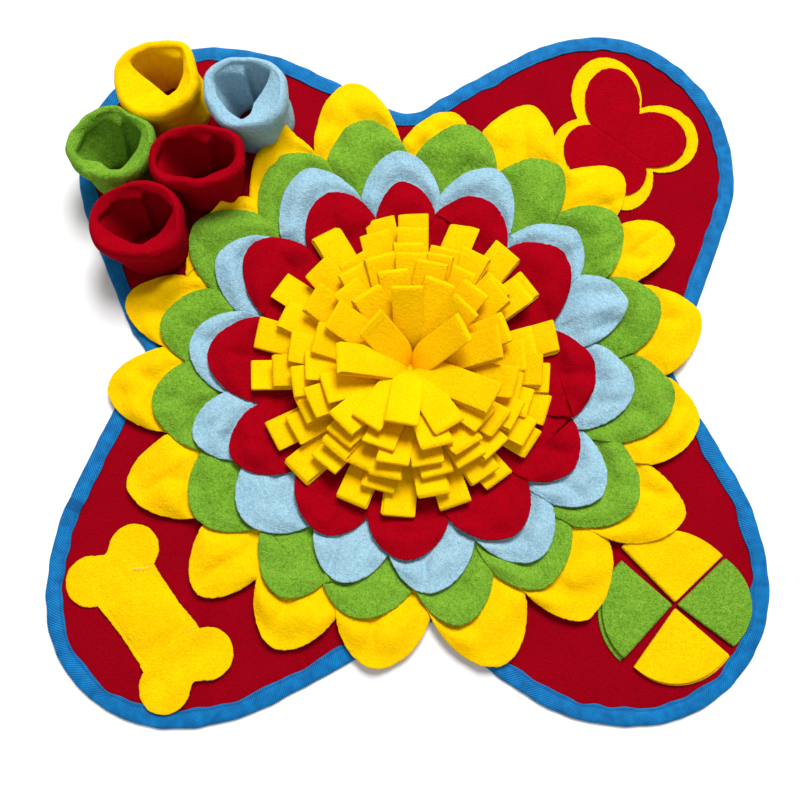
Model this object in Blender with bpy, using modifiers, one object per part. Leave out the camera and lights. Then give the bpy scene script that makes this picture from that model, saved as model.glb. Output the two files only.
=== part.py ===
"""Snuffle mat: a lobed fleece mat with a bound edge, four rings of sewn petals round a pompom
of folded loops, five open cups with rolled rims, and a bone, a ball and a butterfly laid on it.

Metres, +Z up.  The tables are in millimetres from the middle of the flower, +X to the right and
+Y away from the viewer, and MM turns them into metres.  The origin is under the middle of the
mat's outline, on the face that it lies on.
"""

from collections import namedtuple
import math

import bmesh
import bpy
import numpy as np

MM = 0.001

# Fits between pieces
GAP = 0.3 * MM                  # between pieces that are sewn face to face

# The mat and its binding
MAT_THICKNESS = 3.0 * MM
FELT_TOP = MAT_THICKNESS + GAP  # the height at which everything sewn to the mat begins
TAPE_THICKNESS = 0.8 * MM
TAPE_WIDTH = 16.0 * MM          # of the tape's leg that shows
TAPE_TOP = MAT_THICKNESS + GAP + TAPE_THICKNESS
TAPE_FOLD = 1.3 * MM            # from the edge to the inside of the fold
RIM_BAND = TAPE_WIDTH + 1.0 * MM    # of the mat, thinned to take the tape's lower leg
LOBE_STEPS = 14                 # faces round one lobe
NOTCH_STEPS = 6                 # faces round one notch
SIDE_STEPS = 2                  # faces along a straight side
EDGE_WAVES = (                  # waves round the edge: count, height, phase
    (5, 5.0 * MM, 2.7), (8, 0.7 * MM, 2.3), (11, 0.9 * MM, 0.45), (12, 2.3 * MM, 2.25),
    (16, 1.4 * MM, 3.45),
)

Circle = namedtuple("Circle", "kind x y radius")
# The edge runs round the lobes and, the other way, round the notches' circles outside it.
EDGE_CIRCLES = (
    Circle("lobe", 203, 231, 135),
    Circle("notch", 6, 343, 64.5),
    Circle("lobe", -189.5, 218.5, 141),
    Circle("notch", -321.5, 18.5, 58.5),
    Circle("lobe", -192.5, -187.5, 142.5),
    Circle("notch", 19.5, -300, 57.5),
    Circle("lobe", 203.5, -186, 139.5),
    Circle("notch", 320, 8.5, 60.5),
)

# Petals.  A ring is one scalloped band, sewn down along its root, that climbs over the root of
# the next ring out and lies on its petals.
PETAL_THICKNESS = 2.0 * MM
PETAL_ROUNDNESS = 2.1           # exponent of a petal's outline: 2 is an ellipse, more is squarer
PETAL_STEPS = (-1.0, -0.9, -0.5, 0.0, 0.5, 0.9)   # across half a petal on each side of its tip
PETAL_ROWS = (0.0, 0.3, 0.65, 1.0)                # from the root to the edge

Petal = namedtuple("Petal", "start tip reach lift")     # degrees, degrees, mm, mm
Ring = namedtuple("Ring", "name colour root valley back heights petals")
# heights: the band's middle surface, as (radius, height above the floor) pairs

YELLOW_PETALS = (
    Petal(0.6, 10.6, 294, 1.0),
    Petal(20.6, 26.5, 298, 1.6),
    Petal(37.0, 41.0, 292, 1.2),
    Petal(53.5, 66.0, 310, 1.8),
    Petal(73.5, 81.0, 280, 0.6),
    Petal(91.2, 100.7, 315, 1.5),
    Petal(110.5, 113.0, 277, 2.0),
    Petal(121.5, 137.0, 249, 1.6),
    Petal(157.5, 168.0, 284, 0.8),
    Petal(173.7, 183.5, 290, 1.2),
    Petal(194.7, 202.0, 286, 1.0),
    Petal(216.0, 227.0, 282, 1.8),
    Petal(235.0, 246.7, 283, 1.2),
    Petal(254.0, 263.8, 277, 0.8),
    Petal(275.0, 285.8, 285, 1.6),
    Petal(297.5, 302.5, 278, 1.0),
    Petal(317.0, 333.0, 292, 1.8),
    Petal(339.5, 350.3, 285, 1.2),
)
GREEN_PETALS = (
    Petal(4.7, 13.3, 256, 1.4),
    Petal(26.0, 36.0, 258, 1.0),
    Petal(47.5, 55.0, 259, 1.8),
    Petal(66.0, 74.7, 267, 1.2),
    Petal(88.0, 98.8, 268, 1.6),
    Petal(109.5, 119.0, 254, 1.0),
    Petal(133.0, 144.0, 252, 1.2),
    Petal(155.0, 167.5, 245, 1.6),
    Petal(177.5, 186.0, 244, 1.0),
    Petal(201.5, 214.0, 238, 1.4),
    Petal(227.5, 239.0, 238, 1.8),
    Petal(250.0, 260.0, 234, 1.0),
    Petal(271.2, 281.5, 240, 1.6),
    Petal(292.2, 304.0, 236, 1.8),
    Petal(317.8, 332.0, 244, 1.0),
    Petal(342.7, 354.3, 255, 1.4),
)
BLUE_PETALS = (
    Petal(10.5, 18.5, 226, 1.8),
    Petal(29.6, 40.5, 218, 1.0),
    Petal(54.0, 68.0, 227, 1.4),
    Petal(80.6, 91.8, 230, 1.8),
    Petal(104.4, 115.0, 230, 1.2),
    Petal(131.5, 145.0, 220, 1.6),
    Petal(159.0, 172.0, 212, 1.0),
    Petal(186.0, 196.0, 211, 1.4),
    Petal(208.5, 223.0, 204, 1.8),
    Petal(239.0, 253.5, 204, 1.2),
    Petal(265.0, 276.5, 207, 1.0),
    Petal(292.0, 303.5, 213, 1.4),
    Petal(317.0, 331.5, 211, 1.8),
    Petal(343.0, 357.0, 216, 1.2),
)
RED_PETALS = (
    Petal(-11.0, 2.5, 181, 1.0),
    Petal(20.5, 36.0, 195, 1.6),
    Petal(52.0, 67.0, 191, 1.2),
    Petal(80.0, 90.0, 195, 1.8),
    Petal(100.0, 111.5, 198, 1.4),
    Petal(126.5, 141.5, 199, 1.8),
    Petal(158.0, 174.0, 192, 1.0),
    Petal(189.7, 203.5, 180, 1.4),
    Petal(223.5, 242.5, 168, 1.8),
    Petal(256.0, 270.5, 175, 1.2),
    Petal(286.7, 301.0, 179, 1.6),
    Petal(318.0, 333.0, 178, 1.2),
)
RINGS = (
    Ring("petals_yellow", "yellow", 200, 247, 0,
         ((200, 4.3), (206, 4.8), (222, 8.2), (240, 10.4), (320, 10.4)), YELLOW_PETALS),
    Ring("petals_green", "green", 165, 210, -2,
         ((165, 4.3), (172, 4.8), (190, 7.6), (205, 9.2), (222, 13.0), (240, 16.4), (275, 16.8)),
         GREEN_PETALS),
    Ring("petals_blue", "light_blue", 135, 175, -3,
         ((135, 4.3), (142, 4.8), (158, 7.4), (170, 9.0), (190, 12.6), (205, 14.6), (222, 18.6),
          (240, 20.6)), BLUE_PETALS),
    Ring("petals_red", "red", 105, 153, -4,
         ((105, 4.3), (112, 4.8), (128, 7.4), (140, 9.0), (158, 12.8), (170, 14.6), (190, 18.2),
          (205, 20.0)), RED_PETALS),
)

# Pompom.  Each loop is a folded strip: a flat bar that widens from its root and leans outwards.
POMPOM_CENTRE = (4, 4)
BACKING_RADIUS = 92 * MM
BACKING_THICKNESS = 3 * MM
BACKING_SIDES = 48
ROOT_SINK = 1.5 * MM            # how far a loop's root reaches into the backing
LOOP_WIDTH = 30 * MM
ROOT_WIDTH_SHARE = 0.72         # of the room that a row gives each root
LOOP_STATIONS = (0.0, 0.35, 0.7, 1.0)
LOOP_THICKNESS = (2.6 * MM, 4.0 * MM, 5.4 * MM, 6.0 * MM)   # at those stations
LOOP_CREST = 6                  # how far a loop's bend stands above its tip
LOOP_LEAN = 0.17                # how far out its bend stands, as a share of its reach
LOOP_UNEVEN = (1.6, 3.0, 1.2)   # spread of turn in degrees, of reach and of tip height
SEED = 5

LoopRow = namedtuple("LoopRow", "count root reach height turn back")
LOOP_ROWS = (                   # back: how far the row's tips stand away from the viewer
    LoopRow(7, 7, 50, 52, 25, -8),
    LoopRow(10, 18, 70, 47, 0, -4),
    LoopRow(14, 32, 89, 40, 14, -1),
    LoopRow(17, 48, 107, 32, 3, 2),
    LoopRow(19, 65, 125, 25, 12, 3),
    LoopRow(20, 83, 140, 18.5, 5, 4),
)

# Cups.  Open tubes with a soft rolled rim, wider at the mouth.  Each is pinched in at one place,
# and its rim folds over into the mouth at another.
CUP_SIDES = 20
CUP_HEIGHT = 66 * MM
CUP_WALL = 4 * MM
RIM_WALL = 8.5 * MM
RIM_DROP = 20 * MM              # how far the rolled rim hangs down the wall
RIM_STEP = 2.6 * MM             # how far it stands out from the wall
RIM_PUFF = 1.2 * MM
RIM_WAVE = 2.2 * MM             # how far the mouth rises and dips
PINCH_SPREAD = 30               # degrees
FOLD_SPREAD = 34

Cup = namedtuple(
    "Cup", "name colour x y half_width half_depth base foot_x foot_y pinch_at pinch fold_at fold wave")
CUPS = (    # base and pinch as shares of the radius, foot and fold in mm, angles in degrees
    Cup("cup_yellow", "yellow", -240, 279, 42.5, 40.0, 0.90, 5, 2, 318, 0.12, 205, 10, 40),
    Cup("cup_blue", "light_blue", -157, 264, 41.5, 38.0, 0.88, 7, 2, 305, 0.14, 285, 9, 150),
    Cup("cup_green", "green", -283, 211, 39.5, 39.0, 0.84, 0, 0, 330, 0.14, 300, 7, 90),
    Cup("cup_red_inner", "red", -200, 197, 45.5, 31.0, 0.86, 0, 0, 262, 0.10, 250, 5, 200),
    Cup("cup_red_outer", "red", -250.5, 133, 45.5, 36.5, 0.84, 0, 0, 345, 0.10, 290, 7, 300),
)

# Flat toys: fleece of one thickness
TOY_THICKNESS = 2.0 * MM
PATCH_THICKNESS = 1.5 * MM

# Bone, along its own axis from the upper knobs to the lower ones
BONE_START = (-273, -184)
BONE_END = (-199.5, -278)
KNOB_RADIUS = 23.5
KNOB_SPREAD = 24                # of a knob's middle from the axis
NECK_HALF = 31
NOTCH_BACK = 11                 # of the dip between the knobs
END_PANEL = 30                  # from the knobs' middle to the panel's cut end
KNOB_STEPS = 12
POCKET_CROWN = 3.0 * MM
POCKET_COLUMNS = 4
Row = namedtuple("Row", "place raised crown")
POCKET_ROWS = (                 # mm from the upper knobs, share of the lap's step, share of the crown
    Row(24, 1.0, 0.0),
    Row(31, 1.0, 0.1),
    Row(39, 0.2, 0.5),
    Row(51, 0.0, 0.9),
    Row(66, 0.0, 1.0),
    Row(79, 0.0, 0.6),
    Row(86, 0.0, 0.0),
    Row(92, 0.0, 0.0),
)

# Ball: four quarter rounds, each one sheet folded over on itself
BALL_CENTRE = (247, -220)
BALL_LAYER = 1.8 * MM
BALL_LAYER_GAP = 0.6 * MM
BALL_STATIONS = (0.05, 0.3, 0.55, 0.75, 0.9, 0.975)
Wedge = namedtuple("Wedge", "name colour fold_at sweep radius cut out")
WEDGES = (      # cut: length of the cut side as a share of the folded side
    Wedge("ball_top", "yellow", 42, 91, 63, 1.05, 2.4),
    Wedge("ball_right", "green", -37, 79, 61, 0.98, 2.6),
    Wedge("ball_bottom", "yellow", -128, 86, 66, 0.90, 3),
    Wedge("ball_left", "green", 138, 87, 60, 1.08, 2.6),
)

# Butterfly: a yellow patch under a smaller red one, each four rounded wings round the body
BODY_CENTRE = (217, 243)
BODY_RADIUS = 26
BUTTERFLY_STEPS = 44
Wing = namedtuple("Wing", "x y half_width half_height")
BACK_WINGS = (
    Wing(262, 248, 39, 38),
    Wing(209, 295, 36.5, 46),
    Wing(184, 236, 34, 35),
    Wing(222, 208, 30.5, 39),
)
FRONT_WINGS = (
    Wing(254, 246, 34.5, 31),
    Wing(214.5, 287, 28.5, 40.5),
    Wing(187, 234, 25, 29),
    Wing(222, 212, 23.5, 27),
)

COLOURS = {
    "red": (0.36, 0.004, 0.016, 1.0),
    "yellow": (0.95, 0.62, 0.004, 1.0),
    "green": (0.17, 0.45, 0.035, 1.0),
    "light_blue": (0.39, 0.58, 0.74, 1.0),
    "blue": (0.004, 0.17, 0.5, 1.0),
}
FLEECE_ROUGHNESS = 0.95
TAPE_ROUGHNESS = 0.7


def clear_scene():
    """Remove what a new file holds."""
    for thing in list(bpy.data.objects):
        bpy.data.objects.remove(thing, do_unlink=True)


def new_collection(name):
    collection = bpy.data.collections.new(name)
    bpy.context.scene.collection.children.link(collection)
    return collection


def new_material(name, colour, roughness):
    """A plain Principled material of its own for each object."""
    material = bpy.data.materials.new(name)
    material.use_nodes = True
    shader = material.node_tree.nodes["Principled BSDF"]
    shader.inputs["Base Color"].default_value = COLOURS[colour]
    shader.inputs["Roughness"].default_value = roughness
    shader.inputs["Metallic"].default_value = 0.0
    return material


def add_object(name, points, faces, colour, collection, roughness=FLEECE_ROUGHNESS):
    """Make an object from points and faces, with its faces turned outwards."""
    mesh = bpy.data.meshes.new(name)
    mesh.from_pydata([tuple(point) for point in points], [], faces)
    shape = bmesh.new()
    shape.from_mesh(mesh)
    bmesh.ops.recalc_face_normals(shape, faces=shape.faces)
    shape.to_mesh(mesh)
    shape.free()
    thing = bpy.data.objects.new(name, mesh)
    thing.data.materials.append(new_material(name, colour, roughness))
    collection.objects.link(thing)
    return thing


def loft(sections, closed):
    """Skin a row of sections, which have equal numbers of points.

    A closed loft runs round from the last section to the first; an open one is capped.
    """
    sections = np.asarray(sections, dtype=float)
    count = len(sections)
    around = sections.shape[1]
    faces = []
    for this in range(count if closed else count - 1):
        following = (this + 1) % count
        for point in range(around):
            after = (point + 1) % around
            faces.append((this * around + point, this * around + after,
                          following * around + after, following * around + point))
    if not closed:
        faces.append(tuple(range(around)))
        faces.append(tuple(range((count - 1) * around, count * around)))
    return sections.reshape(-1, 3), faces


def unit(angle):
    return np.array((math.cos(angle), math.sin(angle)))


def edge_outline(inset):
    """The mat's edge, moved inwards by inset, counter-clockwise as an array of x and y.

    Two circles that follow each other share a tangent that crosses between them, so the edge is
    arcs joined by straight sides, and an inset only changes the radii.
    """
    middles = [np.array((circle.x, circle.y)) * MM for circle in EDGE_CIRCLES]
    headings = []
    for place, circle in enumerate(EDGE_CIRCLES):
        following = (place + 1) % len(EDGE_CIRCLES)
        across = middles[following] - middles[place]
        lean = math.asin((circle.radius + EDGE_CIRCLES[following].radius) * MM / math.hypot(*across))
        side = 1.0 if circle.kind == "lobe" else -1.0
        headings.append(math.atan2(across[1], across[0]) + side * lean)
    points = []
    normals = []
    for place, circle in enumerate(EDGE_CIRCLES):
        lobe = circle.kind == "lobe"
        radius = circle.radius * MM + (-inset if lobe else inset)
        steps = LOBE_STEPS if lobe else NOTCH_STEPS
        start = headings[place - 1]
        turn = (headings[place] - start) % (2.0 * math.pi)
        turn = turn if lobe else turn - 2.0 * math.pi
        for step in range(steps + 1):
            outward = unit(start + turn * step / steps - math.pi / 2.0)
            points.append(middles[place] + outward * radius * (1.0 if lobe else -1.0))
            normals.append(outward)
        following = (place + 1) % len(EDGE_CIRCLES)
        next_circle = EDGE_CIRCLES[following]
        next_radius = next_circle.radius * MM + (inset if lobe else -inset)
        last = points[-1]
        arrival = middles[following] + outward * next_radius * (-1.0 if lobe else 1.0)
        for step in range(1, SIDE_STEPS):
            points.append(last + (arrival - last) * step / SIDE_STEPS)
            normals.append(outward)
    share = np.arange(len(points)) / len(points)
    wave = sum(height * np.sin(2.0 * math.pi * count * share + phase)
               for count, height, phase in EDGE_WAVES)
    return np.array(points) + np.array(normals) * wave[:, None]


def level_loop(outline, height):
    """An outline laid at a height, as points in space."""
    return np.column_stack((outline, np.full(len(outline), height)))


def middle_of_edge():
    """The middle of the box round the mat's edge, which becomes the origin."""
    outline = edge_outline(0.0)
    return (outline.min(axis=0) + outline.max(axis=0)) / 2.0


def build_mat(collection):
    """One sheet.  Its rim is thinner, so that the tape's lower leg lies level under it."""
    rim_height = TAPE_THICKNESS + GAP
    inner = edge_outline(RIM_BAND)
    outer = edge_outline(TAPE_FOLD + GAP)
    sections = (
        level_loop(inner, 0.0),
        level_loop(inner, rim_height),
        level_loop(outer, rim_height),
        level_loop(outer, MAT_THICKNESS),
    )
    points, faces = loft(sections, closed=False)
    return add_object("base_mat", points, faces, "red", collection)


def build_binding(collection):
    """Tape folded over the edge: a channel section carried round the outline."""
    low_leg = TAPE_THICKNESS
    high_leg = TAPE_TOP - TAPE_THICKNESS
    section = (             # how far in from the edge, and how high
        (TAPE_WIDTH, 0.0), (TAPE_THICKNESS, 0.0), (0.0, TAPE_TOP / 2.0),
        (TAPE_THICKNESS, TAPE_TOP), (TAPE_WIDTH, TAPE_TOP), (TAPE_WIDTH, high_leg),
        (TAPE_FOLD, high_leg), (TAPE_FOLD, low_leg), (TAPE_WIDTH, low_leg),
    )
    loops = [level_loop(edge_outline(inset), height) for inset, height in section]
    points, faces = loft(np.stack(loops, axis=1), closed=True)
    return add_object("edge_binding", points, faces, "blue", collection, TAPE_ROUGHNESS)


def petal_columns(ring):
    """For each column of a ring: its angle, its outer radius, and its share of the lift."""
    angles = []
    radii = []
    lifts = []
    for place, petal in enumerate(ring.petals):
        if place + 1 < len(ring.petals):
            end = ring.petals[place + 1].start
        else:
            end = ring.petals[0].start + 360.0
        for step in PETAL_STEPS:
            side = petal.tip - petal.start if step < 0 else end - petal.tip
            across = (1.0 - abs(step) ** PETAL_ROUNDNESS) ** (1.0 / PETAL_ROUNDNESS)
            angle = petal.tip + side * step
            share = (angle - petal.start) / (end - petal.start)
            angles.append(math.radians(angle))
            radii.append(ring.valley + (petal.reach - ring.valley) * across)
            lifts.append(petal.lift * math.sin(math.pi * share) ** 2)
    return np.array(angles), np.array(radii), np.array(lifts)


def build_petals(ring, collection):
    """A ring of petals: an open surface, given its thickness by Solidify."""
    angles, edge_radii, lifts = petal_columns(ring)
    rows = np.array(PETAL_ROWS)
    radii = ring.root + (edge_radii[:, None] - ring.root) * rows[None, :]
    heights = np.interp(radii, *zip(*ring.heights)) + lifts[:, None] * rows[None, :] ** 2
    x = radii * np.cos(angles)[:, None]
    y = radii * np.sin(angles)[:, None] + ring.back
    points = np.stack((x, y, heights), axis=-1).reshape(-1, 3) * MM
    count = len(angles)
    across = len(rows)
    faces = []
    for column in range(count):
        following = (column + 1) % count
        for row in range(across - 1):
            faces.append((column * across + row, column * across + row + 1,
                          following * across + row + 1, following * across + row))
    thing = add_object(ring.name, points, faces, ring.colour, collection)
    wall = thing.modifiers.new("Thickness", "SOLIDIFY")
    wall.thickness = PETAL_THICKNESS
    wall.offset = 0.0
    return thing


def loop_sections(row, angle, reach, height):
    """Sections of one folded loop: a bar on an arc that rises and leans out to its tip."""
    foot = np.array((row.root * MM, FELT_TOP + BACKING_THICKNESS - ROOT_SINK))
    tip = np.array((reach, height)) * MM
    crest = np.array((row.root + LOOP_LEAN * (reach - row.root), height + LOOP_CREST)) * MM
    root_width = ROOT_WIDTH_SHARE * 2.0 * math.pi * row.root * MM / row.count
    outward = unit(angle)
    sideways = unit(angle + math.pi / 2.0)
    sections = []
    for share, thickness in zip(LOOP_STATIONS, LOOP_THICKNESS):
        place = (1 - share) ** 2 * foot + 2 * share * (1 - share) * crest + share ** 2 * tip
        along = 2 * (1 - share) * (crest - foot) + 2 * share * (tip - crest)
        along /= np.linalg.norm(along)
        normal = np.array((-along[1], along[0])) * thickness / 2.0
        widen = min(1.0, share / LOOP_STATIONS[2])
        half = (root_width + (LOOP_WIDTH - root_width) * widen) / 2.0
        corners = []
        for side, layer in ((-1, -1), (1, -1), (1, 1), (-1, 1)):
            radius, level = place + normal * layer
            x, y = outward * radius + sideways * half * side
            corners.append((x, y + row.back * MM * share, level))
        sections.append(corners)
    return sections


def build_pompom(collection, cutters):
    """Rows of loops, each joined at its root to one round backing."""
    rng = np.random.default_rng(SEED)
    middle = np.array((*POMPOM_CENTRE, 0.0)) * MM
    points = []
    faces = []
    for row in LOOP_ROWS:
        for place in range(row.count):
            turn, reach, height = rng.uniform(-1.0, 1.0, 3) * LOOP_UNEVEN
            angle = math.radians(row.turn + turn + 360.0 * place / row.count)
            sections = loop_sections(row, angle, row.reach + reach, row.height + height)
            loop_points, loop_faces = loft(sections, closed=False)
            faces += [tuple(len(points) + corner for corner in face) for face in loop_faces]
            points += list(loop_points + middle)
    loops = add_object("pompom_loops", points, faces, "yellow", cutters)
    loops.hide_render = True
    loops.display_type = "WIRE"
    bpy.ops.mesh.primitive_cylinder_add(
        vertices=BACKING_SIDES, radius=BACKING_RADIUS, depth=BACKING_THICKNESS,
        location=(middle[0], middle[1], FELT_TOP + BACKING_THICKNESS / 2.0))
    backing = bpy.context.object
    backing.name = "pompom"
    backing.data.name = "pompom"
    for owner in list(backing.users_collection):
        owner.objects.unlink(backing)
    collection.objects.link(backing)
    backing.data.materials.append(new_material("pompom", "yellow", FLEECE_ROUGHNESS))
    join = backing.modifiers.new("Loops", "BOOLEAN")
    join.operation = "UNION"
    join.solver = "EXACT"
    join.object = loops
    return backing


def cup_profile():
    """The cup's wall in section: how far in from the mouth's outline, and how high."""
    top = CUP_HEIGHT
    drop = top - RIM_DROP
    step = RIM_STEP
    return (
        (step, FELT_TOP), (step, FELT_TOP + 0.45 * (drop - FELT_TOP)), (step, drop + 2 * MM),
        (0.0, drop), (-RIM_PUFF, (top + drop) / 2.0), (0.15 * RIM_WALL, top - 2.5 * MM),
        (0.5 * RIM_WALL, top), (0.9 * RIM_WALL, top - 3 * MM), (RIM_WALL, drop + 4 * MM),
        (step + CUP_WALL, drop - 4 * MM), (step + CUP_WALL, FELT_TOP),
    )


def bump(angle, at, spread):
    """A smooth rise to 1 round a direction; angle in radians, the others in degrees."""
    away = (math.degrees(angle) - at + 180.0) % 360.0 - 180.0
    return math.exp(-(away / spread) ** 2)


def build_cup(cup, collection):
    """A tube with an uneven oval mouth that narrows and leans to its foot."""
    centre = np.array((cup.x, cup.y)) * MM
    foot = np.array((cup.foot_x, cup.foot_y)) * MM
    sections = []
    for side in range(CUP_SIDES):
        angle = 2.0 * math.pi * side / CUP_SIDES
        oval = cup.half_width * cup.half_depth * MM / math.hypot(
            cup.half_depth * math.cos(angle), cup.half_width * math.sin(angle))
        dent = cup.pinch * bump(angle, cup.pinch_at, PINCH_SPREAD)
        fold = cup.fold * MM * bump(angle, cup.fold_at, FOLD_SPREAD)
        wave = RIM_WAVE * math.sin(2.0 * angle + math.radians(cup.wave))
        section = []
        for inset, height in cup_profile():
            rise = (height - FELT_TOP) / (CUP_HEIGHT - FELT_TOP)
            scale = cup.base + (1.0 - cup.base) * rise ** 0.8 - dent * rise
            inner = max(0.0, min(1.0, inset / RIM_WALL)) * rise
            radius = oval * scale - inset - fold * inner
            spot = centre + foot * (1.0 - rise) + unit(angle) * radius
            section.append((*spot, height + wave * rise ** 2))
        sections.append(section)
    points, faces = loft(sections, closed=True)
    return add_object(cup.name, points, faces, cup.colour, collection)


def bone_frame():
    """The bone's start, its direction along, and its direction across."""
    start = np.array(BONE_START) * MM
    along = np.array(BONE_END) * MM - start
    length = np.linalg.norm(along)
    along /= length
    across = np.array((-along[1], along[0]))
    return start, along, across, length


def bone_end_outline():
    """Half-turned knobs and a short neck, with the knobs' middle line at zero."""
    neck = math.degrees(math.asin((NECK_HALF - KNOB_SPREAD) / KNOB_RADIUS))
    sweep = np.radians(np.linspace(neck, 236.0, KNOB_STEPS + 1))
    knob = np.column_stack((np.cos(sweep), np.sin(sweep))) * KNOB_RADIUS
    knob[:, 1] += KNOB_SPREAD
    other = knob[::-1] * (1, -1)
    return np.vstack(((END_PANEL, NECK_HALF), knob, (-NOTCH_BACK, 0), other,
                      (END_PANEL, -NECK_HALF))) * MM


def plate(outline, thickness, low):
    """A flat piece: an outline with a level or sloping underside, given by low(x, y)."""
    levels = np.array([low(x, y) for x, y in outline])
    sections = (np.column_stack((outline, levels)), np.column_stack((outline, levels + thickness)))
    return loft(sections, closed=False)


def build_bone(collection):
    """Two end panels and between them a low pocket, which laps the one and tucks under the other."""
    start, along, across, length = bone_frame()
    ends = bone_end_outline()
    upper = start + ends[:, :1] * along + ends[:, 1:] * across
    points, faces = plate(upper, TOY_THICKNESS, lambda x, y: FELT_TOP)
    things = [add_object("bone_end_upper", points, faces, "yellow", collection)]

    lifted = FELT_TOP + TOY_THICKNESS + GAP
    far = start + along * length
    lower = far - ends[:, :1] * along - ends[:, 1:] * across
    far_level = TAPE_TOP + GAP
    slope = (far_level - lifted) / ((END_PANEL + KNOB_RADIUS) * MM)
    cut_end = far - along * END_PANEL * MM
    points, faces = plate(
        lower, TOY_THICKNESS,
        lambda x, y: lifted + slope * np.dot(np.array((x, y)) - cut_end, along))
    things.append(add_object("bone_end_lower", points, faces, "yellow", collection))

    sections = []
    for row in POCKET_ROWS:
        low = []
        for column in range(POCKET_COLUMNS + 1):
            side = 2.0 * column / POCKET_COLUMNS - 1.0
            spot = start + along * row.place * MM + across * NECK_HALF * MM * side
            level = FELT_TOP + (TOY_THICKNESS + GAP) * row.raised
            level += POCKET_CROWN * row.crown * (1.0 - side * side)
            low.append((*spot, level))
        high = [(x, y, level + TOY_THICKNESS) for x, y, level in reversed(low)]
        sections.append(low + high)
    points, faces = loft(sections, closed=False)
    things.append(add_object("bone_middle", points, faces, "yellow", collection))
    return things


def build_wedge(wedge, collection):
    """A quarter round of doubled cloth: a folded section along the folded edge, ever shorter."""
    low = FELT_TOP
    mid = low + BALL_LAYER
    high = mid + BALL_LAYER_GAP
    top = high + BALL_LAYER
    fold = (top - low) / 2.0
    along = unit(math.radians(wedge.fold_at))
    across = unit(math.radians(wedge.fold_at + wedge.sweep))
    corner = np.array(BALL_CENTRE) * MM
    corner = corner + unit(math.radians(wedge.fold_at + wedge.sweep / 2.0)) * wedge.out * MM
    radius = wedge.radius * MM
    sections = []
    for share in BALL_STATIONS:
        reach = radius * wedge.cut * math.sqrt(1.0 - share * share)
        layer = (
            (reach, low), (fold, low), (0.0, low + fold), (fold, top), (reach, top),
            (reach, high), (fold, high), (fold, mid), (reach, mid),
        )
        sections.append([(*(corner + along * radius * share + across * away), level)
                         for away, level in layer])
    points, faces = loft(sections, closed=False)
    return add_object(wedge.name, points, faces, wedge.colour, collection)


def butterfly_outline(wings):
    """The outline round the body: along each direction, the farthest edge of any wing.

    A wing is an oval, and a line from the body's middle meets its edge where a quadratic in the
    distance is zero.
    """
    turned = np.radians(np.arange(BUTTERFLY_STEPS) * 360.0 / BUTTERFLY_STEPS)
    outward = np.column_stack((np.cos(turned), np.sin(turned)))
    reach = np.full(BUTTERFLY_STEPS, float(BODY_RADIUS))
    for wing in wings:
        size = np.array((wing.half_width, wing.half_height))
        start = (np.array(BODY_CENTRE) - (wing.x, wing.y)) / size
        heading = outward / size
        square = np.sum(heading * heading, axis=1)
        half = heading @ start
        root = half * half - square * (start @ start - 1.0)
        edge = (-half + np.sqrt(np.clip(root, 0.0, None))) / square
        reach = np.maximum(reach, np.where(root > 0.0, edge, 0.0))
    return (outward * reach[:, None] + BODY_CENTRE) * MM


def build_butterfly(collection):
    """A patch on a slightly larger patch."""
    things = []
    level = FELT_TOP
    for name, colour, wings in (("butterfly_back", "yellow", BACK_WINGS),
                                ("butterfly_front", "red", FRONT_WINGS)):
        points, faces = plate(butterfly_outline(wings), PATCH_THICKNESS, lambda x, y: level)
        things.append(add_object(name, points, faces, colour, collection))
        level += PATCH_THICKNESS + GAP
    return things


def centre_on_origin(collections):
    """Move every mesh so that the middle of the mat's edge is at the origin."""
    x, y = middle_of_edge()
    for collection in collections:
        for thing in collection.objects:
            thing.location.x -= x
            thing.location.y -= y


def main():
    clear_scene()
    parts = new_collection("snuffle_mat")
    cutters = new_collection("cutters")
    build_mat(parts)
    build_binding(parts)
    for ring in RINGS:
        build_petals(ring, parts)
    build_pompom(parts, cutters)
    for cup in CUPS:
        build_cup(cup, parts)
    build_bone(parts)
    for wedge in WEDGES:
        build_wedge(wedge, parts)
    build_butterfly(parts)
    centre_on_origin((parts, cutters))


main()
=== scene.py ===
# %% [markdown]
# # A snuffle mat in fleece
#
# The mat is soft goods from end to end: a lobed sheet with a bound edge, four rings of petals, a
# pompom of folded strips, five open cups and three flat toys.  Each cell builds one of them around
# the fixed frame, which holds the plain solids of the same pieces.  Lengths in the tables are in
# millimetres from the middle of the flower, +X to the right and +Y away from the viewer.

# %% Load the fixed frame
import math
from collections import namedtuple

import bpy
import numpy as np
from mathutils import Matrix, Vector


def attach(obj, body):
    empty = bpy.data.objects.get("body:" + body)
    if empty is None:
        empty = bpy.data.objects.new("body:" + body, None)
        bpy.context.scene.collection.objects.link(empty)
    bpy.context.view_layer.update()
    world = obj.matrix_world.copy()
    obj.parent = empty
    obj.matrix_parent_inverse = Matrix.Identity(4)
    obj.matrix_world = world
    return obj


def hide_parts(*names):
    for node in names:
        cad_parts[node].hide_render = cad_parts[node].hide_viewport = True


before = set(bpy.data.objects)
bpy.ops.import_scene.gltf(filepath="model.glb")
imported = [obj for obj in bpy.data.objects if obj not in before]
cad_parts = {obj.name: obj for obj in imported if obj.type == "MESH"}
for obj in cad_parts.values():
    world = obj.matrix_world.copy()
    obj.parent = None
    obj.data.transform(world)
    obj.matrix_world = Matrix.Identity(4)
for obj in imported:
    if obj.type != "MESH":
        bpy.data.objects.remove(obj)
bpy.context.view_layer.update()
MM = 0.001
print("frame:", len(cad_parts), "nodes")

# %% [markdown]
# ## The edge, and where the flower sits
#
# The mat's edge is eight circles, four lobes and four notches, joined by the tangents that cross
# between them.  Because an inset only changes the radii, a point of any inset line is the point of
# the edge moved inwards along its normal, so one list of points and normals serves the sheet, the
# tape and the stitches.  The middle of the box round that edge is the frame's origin.

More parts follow.
